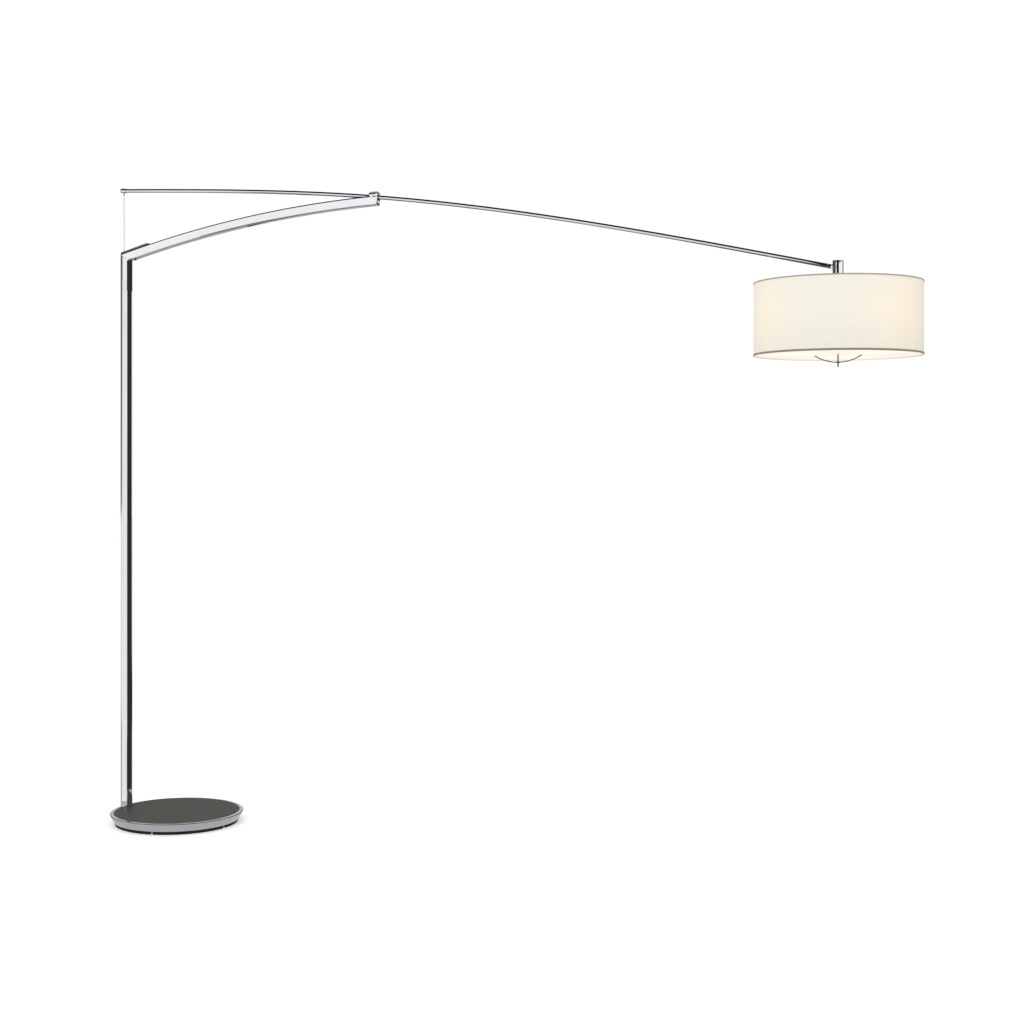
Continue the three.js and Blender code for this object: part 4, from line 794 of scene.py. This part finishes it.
def makePivotScrews():
    shank, wide, start, seat, end = [pivotScrew[k] for k in ("radius", "head", "start", "seat", "end")]
    for name, side in (("front", -1), ("rear", 1)):
        bm = bmesh.new()
        spinProfile(bm, [(0, start), (shank, start), (shank, seat), (wide, seat), (wide, end), (0, end)], 40)
        roundEdges(bm, 0.0005, 3, 60)
        socket = bmesh.new()
        rodBetween(socket, (0, 0, end - pivotScrew["socketDepth"]), (0, 0, 0.02), pivotScrew["socket"], 6)
        bm = carve(bm, [socket])
        turn = Matrix.Rotation(-side * math.pi / 2, 4, "X")
        finishPiece(bm, f"pivotScrew_{name}", "mast", chrome, f"pivot_screw_{name}", pivot, turn)


makePost()
makeArm()
makeGuidePlate()
makePlateScrews()
makeBush()
makeFork()
makeForkCap()
makePivotScrews()
keepNodes(leadSheath, "mast_lead")
print("post and arm made")


head = {"radius": 0.016, "wall": 0.0025, "above": 0.021, "below": 0.049, "cap": 0.002, "pin": 0.003,
        "pinHole": 0.0033, "slotHalf": 0.0046, "slotUnder": 0.009, "slotOver": 0.016, "stem": 0.006, "stemBore": 0.0031}
boom = {"radius": 0.0065, "slope": math.radians(7), "bendRadius": 6.8, "front": 1.462,
        "rear": pivot.x - centreOf("boom_cable").x, "tipLength": 0.030, "points": 130}


def boomHeight(x):  # bent like a beam, loaded at both its ends
    span = boom["rear"] if x < 0 else boom["front"]
    run = abs(x)
    return -x * math.tan(boom["slope"]) - (run ** 2 / 2 - run ** 3 / (6 * span)) / boom["bendRadius"]


def boomPoint(x):
    return pivot + Vector((x, 0, boomHeight(x)))


def boomSlope(x):
    return math.atan2(boomHeight(x - 0.0005) - boomHeight(x + 0.0005), 0.001)


def makeBoomTube():
    first, last = -boom["rear"] + 0.004, boom["front"] - boom["tipLength"]
    places = [first + (last - first) * i / boom["points"] for i in range(boom["points"] + 1)]
    bm = sweepTube("boomTube", [boomPoint(x) for x in places], boom["radius"])
    finishPiece(bm, "boomTube", "boom", chrome, "boom_tube")


collar = {"bore": 0.0066, "radius": 0.0093, "halfLength": 0.009}


def makeCollar():
    bm = bmesh.new()
    spinRing(bm, collar["bore"], collar["radius"], -collar["halfLength"], collar["halfLength"], 64)
    roundEdges(bm, 0.0007, 3, 60)
    turn = Matrix.Rotation(math.pi / 2 + boom["slope"], 4, "Y")
    finishPiece(bm, "pivotCollar", "boom", chrome, "pivot_collar", pivot, turn)


endCap = {"radius": 0.0077, "bore": 0.0066, "behind": 0.0115, "ahead": 0.0095, "floor": 0.0037, "nose": 0.0026}


def makeEndCap():
    wide, bore, behind, ahead, floor = [endCap[k] for k in ("radius", "bore", "behind", "ahead", "floor")]
    bm = bmesh.new()
    spinProfile(bm, [(0, -behind), (wide, -behind), (wide, ahead), (bore, ahead), (bore, floor), (0, floor)], 48)
    roundEdges(bm, endCap["nose"], 6, 60, lambda e: max(v.co.z for v in e.verts) < -0.01)
    roundEdges(bm, 0.0003, 2, 60)
    turn = Matrix.Rotation(math.pi / 2 + boomSlope(-boom["rear"]), 4, "Y")
    finishPiece(bm, "boomEndCap", "boom", chrome, "boom_end_cap", boomPoint(-boom["rear"]), turn)


cable = {"radius": 0.001, "sides": 20, "cuts": 24, "ferrule": 0.0024, "ferruleMouth": 0.0018,
         "crimps": (0.004, 0.007), "crimpShare": 0.86}


def makeFerrule():
    low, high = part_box("cable_ferrule")
    length = high.z - low.z
    wide = cable["ferrule"]
    bm = bmesh.new()
    spinProfile(bm, [(0, 0), (cable["ferruleMouth"], 0), (wide, 0.0012), (wide, length), (0, length)], 32)
    cutLevels(bm, cable["crimps"])
    pinched = [v for v in bm.verts if min(abs(v.co.z - level) for level in cable["crimps"]) < 1e-5]
    bmesh.ops.scale(bm, vec=(cable["crimpShare"], cable["crimpShare"], 1), verts=pinched)
    at = (centreOf("cable_ferrule").x, 0, low.z)
    finishPiece(bm, "cableFerrule", "boom", bareSteel, "cable_ferrule", at, sharp=50)


def makeCable(name, node, low, high):
    x = centreOf(node).x
    bm = bmesh.new()
    spinRing(bm, 0, cable["radius"], low, high, cable["sides"])
    cutLevels(bm, [low + (high - low) * i / cable["cuts"] for i in range(1, cable["cuts"])])
    bmesh.ops.translate(bm, vec=(x, 0, 0), verts=bm.verts)
    bmesh.ops.recalc_face_normals(bm, faces=bm.faces)
    piece = looseObject(bm, name)
    shadeSmooth(piece, 40)
    piece.data.materials.append(cableWire)
    clothMap(piece, x, 1 / (2 * math.pi))
    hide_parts(node)
    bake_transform(piece)


def makeCables():
    bushLow, bushTop = [corner.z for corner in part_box("cable_bush")]
    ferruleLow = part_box("cable_ferrule")[0].z
    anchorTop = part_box("cable_anchor")[1].z
    joined = bushTop - 0.006  # inside the bush
    makeCable("cableOutside", "boom_cable", joined, ferruleLow + 0.002)
    makeCable("cableInside", "weight_cable", anchorTop - 0.003, joined)


tip = {"plugStart": -0.0297, "plugEnd": -0.021, "tongueStart": -0.0215, "tongueHalf": 0.004, "nose": 0.006}


def makeTip():
    turn = Matrix.Rotation(boomSlope(boom["front"]), 4, "Y")
    nose = tip["nose"]
    bm = bmesh.new()
    spinRing(bm, 0, boom["radius"], tip["plugStart"], tip["plugEnd"], 48)
    roundEdges(bm, 0.0008, 3, 60, lambda e: min(v.co.z for v in e.verts) > -0.022)
    bmesh.ops.transform(bm, matrix=Matrix.Rotation(math.pi / 2, 4, "Y"), verts=bm.verts)
    finishPiece(bm, "boomTipShoulder", "boom", chrome, "boom_tip", headPin, turn)
    bm = bmesh.new()
    boxBetween(bm, (tip["tongueStart"], -tip["tongueHalf"], -nose), (nose, tip["tongueHalf"], nose))
    roundEdges(bm, 0.0055, 8, 60, lambda e: min(v.co.x for v in e.verts) > 0.005
               and abs(e.verts[0].co.y - e.verts[1].co.y) > 0.005)
    roundEdges(bm, 0.0004, 2, 60)
    bm = carve(bm, [cutterRod((0, -0.01, 0), (0, 0.01, 0), head["pinHole"])])
    finishPiece(bm, "boomTongue", "boom", chrome, "boom_tip", headPin, turn)


makeBoomTube()
makeCollar()
makeEndCap()
makeFerrule()
makeCables()
makeTip()
keepNodes(leadSheath, "boom_lead")
keepNodes(whiteNylon, "upper_slider", "lower_slider")
keepNodes(castIron, "counterweight_bar")
keepNodes(bareSteel, "cable_anchor")
print("boom and counterweight made")


def makeHeadTube():
    bm = bmesh.new()
    spinRing(bm, head["radius"] - head["wall"], head["radius"], -head["below"], head["above"] - head["cap"] - gap, 96)
    roundEdges(bm, 0.0005, 3, 60)
    bm = carve(bm, [
        cutterBox((-0.03, -head["slotHalf"], -head["slotUnder"]), (0, head["slotHalf"], head["slotOver"])),
        cutterRod((0, -0.03, 0), (0, 0.03, 0), head["pinHole"]),
    ])
    finishPiece(bm, "headTube", "head", chrome, "head_tube", headPin)


def makeHeadCap():
    bm = bmesh.new()
    spinRing(bm, 0, head["radius"], head["above"] - head["cap"], head["above"], 96)
    roundEdges(bm, 0.0006, 3, 60)
    finishPiece(bm, "headCap", "head", chrome, "head_cap", headPin)


def makeHeadPin():
    low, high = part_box("head_pin")
    half = (high.y - low.y) / 2
    bm = bmesh.new()
    spinRing(bm, 0, head["pin"], -half, half, 40)
    roundEdges(bm, 0.0006, 4, 60)
    finishPiece(bm, "headPin", "head", chrome, "head_pin", headPin, Matrix.Rotation(math.pi / 2, 4, "X"))


def makeStem():
    bottom, top = [corner.z - headPin.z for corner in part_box("drop_stem")]
    plug = head["radius"] - head["wall"] - gap
    bm = bmesh.new()
    spinProfile(bm, [(head["stemBore"], bottom), (head["stem"], bottom), (head["stem"], -head["below"]),
                     (plug, -head["below"]), (plug, top), (head["stemBore"], top)], 48)
    roundEdges(bm, 0.0004, 2, 60)
    finishPiece(bm, "dropStem", "head", chrome, "drop_stem", headPin)


lamp = {"hub": 0.022, "holderNarrow": 0.015, "holder": 0.018, "socket": 0.0133, "holderStart": 0.0223,
        "holderWide": 0.0303, "holderEnd": 0.0683, "socketFloor": 0.0443, "bulbCap": 0.013, "capLength": 0.026,
        "bulbStart": 0.0446, "ball": 0.1186, "bulb": 0.03}


def makeLamps():
    low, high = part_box("lamp_hub")
    middle = centreOf("lamp_hub")
    half = (high.z - low.z) / 2
    bm = bmesh.new()
    spinRing(bm, 0, lamp["hub"], -half, half, 64)
    roundEdges(bm, 0.003, 5, 60)
    finishPiece(bm, "lampHub", "head", porcelain, "lamp_hub", middle)
    ball, radius = lamp["ball"], lamp["bulb"]
    arc = [(radius * math.cos(math.radians(a)), ball + radius * math.sin(math.radians(a))) for a in range(-50, 90, 10)]
    for i, angle in enumerate(lampAngles, 1):
        turn = Matrix.Rotation(math.radians(angle), 4, "Z") @ Matrix.Rotation(math.pi / 2, 4, "Y")
        bm = bmesh.new()
        spinProfile(bm, [(0, lamp["holderStart"]), (lamp["holderNarrow"], lamp["holderStart"]),
                         (lamp["holder"], lamp["holderWide"]), (lamp["holder"], lamp["holderEnd"]),
                         (lamp["socket"], lamp["holderEnd"]), (lamp["socket"], lamp["socketFloor"]),
                         (0, lamp["socketFloor"])], 48)
        roundEdges(bm, 0.0008, 3, 40)
        finishPiece(bm, f"lampholder{i}", "head", porcelain, f"lampholder_{i}", middle, turn)
        bm = bmesh.new()
        spinProfile(bm, [(0, lamp["bulbStart"]), (lamp["bulbCap"], lamp["bulbStart"]),
                         (lamp["bulbCap"], lamp["bulbStart"] + lamp["capLength"])] + arc + [(0, ball + radius)], 48)
        finishPiece(bm, f"bulb{i}", "head", bulbGlass, f"bulb_{i}", middle, turn)


spider = {"wire": 0.002, "spoke": 0.0018, "hub": 0.014, "hubBore": 0.0063, "hubThick": 0.005}


def makeSpider():
    low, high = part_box("shade_spider")
    ringRadius = (high.x - low.x) / 2 - spider["wire"]
    ringHeight = high.z - spider["wire"] - headPin.z
    hubTop = -head["below"] - gap
    hubLow = hubTop - spider["hubThick"]
    finishPiece(wireRing(ringRadius, ringHeight), "shadeUpperRing", "head", bareSteel, "shade_spider", headPin)
    bm = bmesh.new()
    spinRing(bm, spider["hubBore"], spider["hub"], hubLow, hubTop, 64)
    roundEdges(bm, 0.0008, 3, 60)
    finishPiece(bm, "spiderHub", "head", bareSteel, "shade_spider", headPin)
    for i, angle in enumerate(lampAngles, 1):
        bm = bmesh.new()
        start = (spider["hub"] - 0.0015, 0, (hubLow + hubTop) / 2)
        rodBetween(bm, start, (ringRadius, 0, ringHeight), spider["spoke"], 20)
        turn = Matrix.Rotation(math.radians(angle), 4, "Z")
        finishPiece(bm, f"spiderSpoke{i}", "head", bareSteel, "shade_spider", headPin, turn)


shade = {"wall": 0.0012, "steps": 192, "rows": 12, "topTrim": 0.004, "bottomTrim": 0.0055, "trimIn": 0.0002,
         "trimOut": 0.0012, "seamAngle": 78, "seamWidth": 2.6, "seamThick": 0.0006}


def makeShade():
    low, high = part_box("shade_drum")
    radius = (high.x - low.x) / 2
    bottom, top = low.z - headPin.z, high.z - headPin.z
    bm = bmesh.new()
    spinRing(bm, radius - shade["wall"], radius, bottom, top, shade["steps"])
    cutLevels(bm, [bottom + (top - bottom) * i / shade["rows"] for i in range(1, shade["rows"])])
    drum = finishPiece(bm, "shadeDrum", "head", shadeCloth, "shade_drum", headPin)
    clothMap(drum, headPin.x, radius)
    for name, node, start, end, tape in (
            ("shadeTopTrim", "shade_top_trim", top - shade["topTrim"], top, edgeTape),
            ("shadeBottomTrim", "shade_bottom_trim", bottom, bottom + shade["bottomTrim"], trimTape)):
        bm = bmesh.new()
        spinRing(bm, radius + shade["trimIn"], radius + shade["trimOut"], start, end, shade["steps"])
        roundEdges(bm, 0.0004, 4, 60)
        piece = finishPiece(bm, name, "head", tape, node, headPin)
        clothMap(piece, headPin.x, radius)
    # the cloth overlaps itself at the rear, in one upright seam
    seam = seamStrip(radius + 0.0001, bottom + shade["bottomTrim"] + 0.0005, top - shade["topTrim"] - 0.0005)
    strip = finishPiece(seam, "shadeSeam", "head", shadeCloth, "shade_drum", headPin)
    clothMap(strip, headPin.x, radius)


def seamStrip(radius, low, high):
    outer = radius + shade["seamThick"]
    bm = bmesh.new()
    verts = [bm.verts.new(p) for p in ((radius, 0, low), (outer, 0, low), (outer, 0, high), (radius, 0, high))]
    edges = [bm.edges.new((verts[i], verts[(i + 1) % 4])) for i in range(4)]
    start = Matrix.Rotation(math.radians(shade["seamAngle"]), 3, "Z")
    bmesh.ops.rotate(bm, cent=(0, 0, 0), matrix=start, verts=verts)
    bmesh.ops.spin(bm, geom=verts + edges, cent=(0, 0, 0), axis=(0, 0, 1), angle=math.radians(shade["seamWidth"]),
                   steps=6, use_merge=False, use_duplicate=False)
    bmesh.ops.holes_fill(bm, edges=bm.edges, sides=0)
    return bm


def makeLowerRing():
    low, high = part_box("shade_lower_ring")
    ring = wireRing((high.x - low.x) / 2 - spider["wire"], 0)
    finishPiece(ring, "shadeLowerRing", "head", bareSteel, "shade_lower_ring", (headPin.x, 0, (low.z + high.z) / 2))


under = {"diffuserHole": 0.0028, "bowHalf": 0.067, "bowSag": 0.020, "bowWire": 0.0015, "eye": 0.0045,
         "eyeHalf": 0.0025, "rod": 0.0025, "finial": 0.0024, "tip": 0.0011}  # what shows below the shade


def makeDiffuser():
    low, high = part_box("diffuser")
    bm = bmesh.new()
    spinRing(bm, under["diffuserHole"], (high.x - low.x) / 2, low.z, high.z, 160)
    roundEdges(bm, 0.0007, 3, 60)
    finishPiece(bm, "diffuser", "head", opal, "diffuser", (headPin.x, 0, 0))


def makeBow():
    half, sag, wire = under["bowHalf"], under["bowSag"], under["bowWire"]
    bowRadius = (half ** 2 + sag ** 2) / (2 * sag)
    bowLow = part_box("diffuser")[0].z - gap - wire - sag
    points = []
    for i in range(49):
        a = math.asin(half / bowRadius) * (i / 24 - 1)
        points.append((headPin.x + bowRadius * math.sin(a), 0, bowLow + bowRadius * (1 - math.cos(a))))
    bm = sweepTube("bow", points, wire, 6)
    finishPiece(bm, "diffuserBow", "head", bowWire, "diffuser_bow")
    bm = bmesh.new()
    spinRing(bm, under["diffuserHole"], under["eye"], -under["eyeHalf"], under["eyeHalf"], 40)
    roundEdges(bm, 0.0008, 3, 60)
    finishPiece(bm, "bowEye", "head", bowWire, "diffuser_bow", (headPin.x, 0, bowLow))


def makeTieRod():
    low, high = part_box("tie_rod")
    bm = bmesh.new()
    spinRing(bm, 0, under["rod"], low.z, high.z, 32)
    roundEdges(bm, 0.0004, 2, 60)
    finishPiece(bm, "tieRod", "head", bareSteel, "tie_rod", (headPin.x, 0, 0))


def makeFinial():
    low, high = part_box("finial")
    bm = bmesh.new()
    spinRing(bm, 0, under["finial"], low.z, high.z, 32)
    roundEdges(bm, under["tip"], 4, 60, lambda e: max(v.co.z for v in e.verts) < low.z + 0.001)
    roundEdges(bm, 0.0003, 2, 60)
    finishPiece(bm, "finial", "head", oliveLacquer, "finial", (headPin.x, 0, 0))


makeHeadTube()
makeHeadCap()
makeHeadPin()
makeStem()
makeLamps()
makeSpider()
makeShade()
makeLowerRing()
makeDiffuser()
makeBow()
makeTieRod()
makeFinial()
keepNodes(leadSheath, "head_lead")
print("head made")


studio = {"floorSize": 60, "worldStrength": 0.95, "floorLift": 0.3, "keyPower": 40, "keyPlace": (0.6, -5.2, 4.4),
          "keySize": 3.0, "mouthCard": 0.236}
screens = {  # centre along X, radius, lower and upper edge, start and end angle, brightness
    "whiteScreen": (postX, 0.3, 0.0, 1.84, -128, -112, 1.0),
    "darkScreen": (postX, 0.5, 0.0, 1.84, -84, 60, 0.03),
    "cornerScreen": (postX, 0.035, 1.77, 1.8705, -80, 60, 0.03),
    "headFlag": (headPin.x, 0.4, 1.58, 1.95, -110, -64, 0.006),
}
view = {"place": (2.919, -4.768, 1.184), "turn": 20, "lens": 58.01, "shiftY": -0.0458984}


def makeFloor():
    bm = bmesh.new()
    bmesh.ops.create_grid(bm, x_segments=1, y_segments=1, size=studio["floorSize"] / 2)
    floor = looseObject(bm, "floor")
    material, tree, shader, place = startMaterial("paperSweep", Roughness=0.9, Specular_IOR_Level=0.0)
    cloud = addNode(tree, "TexNoise", {"Vector": place, "Scale": 1.5, "Detail": 3}).outputs["Fac"]
    tree.links.new(tintBetween(tree, cloud, "#F4F4F4", "#F8F8F8"), shader.inputs["Base Color"])
    # the paper is lit from behind as well, so it stays white right up to the horizon
    lift = addNode(tree, "Emission", {"Color": (1, 1, 1, 1), "Strength": studio["floorLift"]})
    paper = addNode(tree, "AddShader")
    tree.links.new(shader.outputs[0], paper.inputs[0])
    tree.links.new(lift.outputs[0], paper.inputs[1])
    # polished metal sees painted reflections in the paper, which the camera never sees: white in front, dark under
    #     # the lamp, grey behind it and mid grey right beside the base
    depth = addNode(tree, "SeparateXYZ", {"Vector": place}).outputs["Y"]
    across = addNode(tree, "MapRange", {"Value": depth, "From Min": -3.0, "From Max": 7.0}).outputs["Result"]
    along = addNode(tree, "SeparateXYZ", {"Vector": place}).outputs["X"]
    darkest = addNode(tree, "MapRange", {"Value": along, "From Min": 0.6, "From Max": 0.9, "To Min": 0.36,
                                         "To Max": 0.05}).outputs["Result"]
    white = addRamp(tree, across, [(0, 0.9), (0.12, 0.85), (0.17, 0.0), (0.6, 0.0), (0.75, 0.46), (1, 0.52)])
    tones = addNode(tree, "Math", {0: white, 1: darkest}, operation="MAXIMUM").outputs[0]
    away = addNode(tree, "VectorMath", {0: place}, operation="LENGTH").outputs["Value"]
    beside = addNode(tree, "MapRange", {"Value": away, "From Min": 0.3, "From Max": 0.5}).outputs["Result"]
    near = addNode(tree, "Mix", {"Factor": beside, 6: (0.62, 0.62, 0.62, 1)}, data_type="RGBA")
    tree.links.new(tones, near.inputs[7])
    seen = addNode(tree, "Emission", {"Color": near.outputs[2]})
    mixed = addNode(tree, "MixShader", {"Fac": addNode(tree, "LightPath").outputs["Is Glossy Ray"]})
    tree.links.new(paper.outputs[0], mixed.inputs[1])
    tree.links.new(seen.outputs[0], mixed.inputs[2])
    tree.links.new(mixed.outputs[0], tree.nodes["Material Output"].inputs["Surface"])
    floor.data.materials.append(material)
    floor.visible_diffuse = False


def makeWorld():
    world = bpy.data.worlds.new("studio")
    bpy.context.scene.world = world
    world.use_nodes = True
    tree = world.node_tree
    direction = addNode(tree, "TexCoord").outputs["Generated"]
    split = addNode(tree, "SeparateXYZ", {"Vector": direction})
    turn = addNode(tree, "Math", {0: split.outputs["Y"], 1: split.outputs["X"]}, operation="ARCTAN2").outputs[0]
    around = addNode(tree, "MapRange", {"Value": turn, "From Min": -math.pi, "From Max": math.pi}).outputs["Result"]
    brown = finishColour("#5A554B")
    walls = addRamp(tree, around, [(0, brown), (0.136, brown), (0.146, 1.1), (0.56, 1.1), (0.58, 0.02),
                                   (0.664, 0.02), (0.672, 0.8), (0.856, 0.72), (0.875, brown), (1, brown)])
    ceiling = addRamp(tree, split.outputs["Z"], [(0, 1.0), (0.31, 1.0), (0.36, 0.012), (1, 0.03)])
    seen = addNode(tree, "Mix", {"Factor": 1.0}, data_type="RGBA", blend_type="MULTIPLY")
    tree.links.new(walls, seen.inputs[6])
    tree.links.new(ceiling, seen.inputs[7])
    plain = tree.nodes["Background"]
    plain.inputs["Color"].default_value = (1, 1, 1, 1)
    plain.inputs["Strength"].default_value = studio["worldStrength"]
    shine = addNode(tree, "Background", {"Color": seen.outputs[2], "Strength": 1.0})
    backdrop = addNode(tree, "Background", {"Color": (1, 1, 1, 1), "Strength": 1.05})
    path = addNode(tree, "LightPath")
    first = addNode(tree, "MixShader", {"Fac": path.outputs["Is Glossy Ray"]})
    tree.links.new(plain.outputs[0], first.inputs[1])
    tree.links.new(shine.outputs[0], first.inputs[2])
    second = addNode(tree, "MixShader", {"Fac": path.outputs["Is Camera Ray"]})
    tree.links.new(first.outputs[0], second.inputs[1])
    tree.links.new(backdrop.outputs[0], second.inputs[2])
    tree.links.new(second.outputs[0], tree.nodes["World Output"].inputs["Surface"])


def showToMetal(bm, name, brightness):
    card = looseObject(bm, name)
    material = bpy.data.materials.new(name + "Paper")
    material.use_nodes = True
    tree = material.node_tree
    glow = addNode(tree, "Emission", {"Color": (1, 1, 1, 1), "Strength": brightness})
    tree.links.new(glow.outputs[0], tree.nodes["Material Output"].inputs["Surface"])
    card.data.materials.append(material)
    card.visible_camera = False
    card.visible_diffuse = False
    card.visible_shadow = False
    card.visible_transmission = False


def makeScreen(name, x, radius, low, high, start, end, brightness):  # a curved card that only polished metal sees
    bm = bmesh.new()
    verts = [bm.verts.new((radius, 0, z)) for z in (low, high)]
    edge = bm.edges.new(verts)
    bmesh.ops.rotate(bm, cent=(0, 0, 0), matrix=Matrix.Rotation(math.radians(start), 3, "Z"), verts=verts)
    bmesh.ops.spin(bm, geom=verts + [edge], cent=(0, 0, 0), axis=(0, 0, 1), angle=math.radians(end - start),
                   steps=24, use_merge=False, use_duplicate=False)
    bmesh.ops.translate(bm, vec=(x, 0, 0), verts=bm.verts)
    showToMetal(bm, name, brightness)


def makeMouthCard():  # a dark card over the shade's mouth, which only polished metal sees
    bm = bmesh.new()
    bmesh.ops.create_circle(bm, cap_ends=True, segments=64, radius=studio["mouthCard"])
    bmesh.ops.translate(bm, vec=(headPin.x, 0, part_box("shade_top_trim")[1].z + 0.002), verts=bm.verts)
    showToMetal(bm, "mouthCard", 0.1)


def makeLights():
    lamp = bpy.data.lights.new("key", "AREA")
    lamp.energy = studio["keyPower"]
    lamp.size = studio["keySize"]
    key = bpy.data.objects.new("key", lamp)
    key.location = studio["keyPlace"]
    key.rotation_euler = (Vector((0.9, 0, 1.0)) - key.location).to_track_quat("-Z", "Y").to_euler()
    key.visible_glossy = False
    bpy.context.scene.collection.objects.link(key)


def makeCamera():
    lens = bpy.data.cameras.new("camera")
    lens.lens = view["lens"]
    lens.sensor_width = 36
    lens.shift_y = view["shiftY"]
    lens.clip_end = 200
    camera = bpy.data.objects.new("camera", lens)
    camera.location = view["place"]
    camera.rotation_euler = (math.pi / 2, 0, math.radians(view["turn"]))
    bpy.context.scene.collection.objects.link(camera)
    bpy.context.scene.camera = camera


makeFloor()
makeWorld()
for name, values in screens.items():
    makeScreen(name, *values)
makeMouthCard()
makeLights()
makeCamera()
bpy.context.scene.view_settings.view_transform = "Standard"
print("studio made")
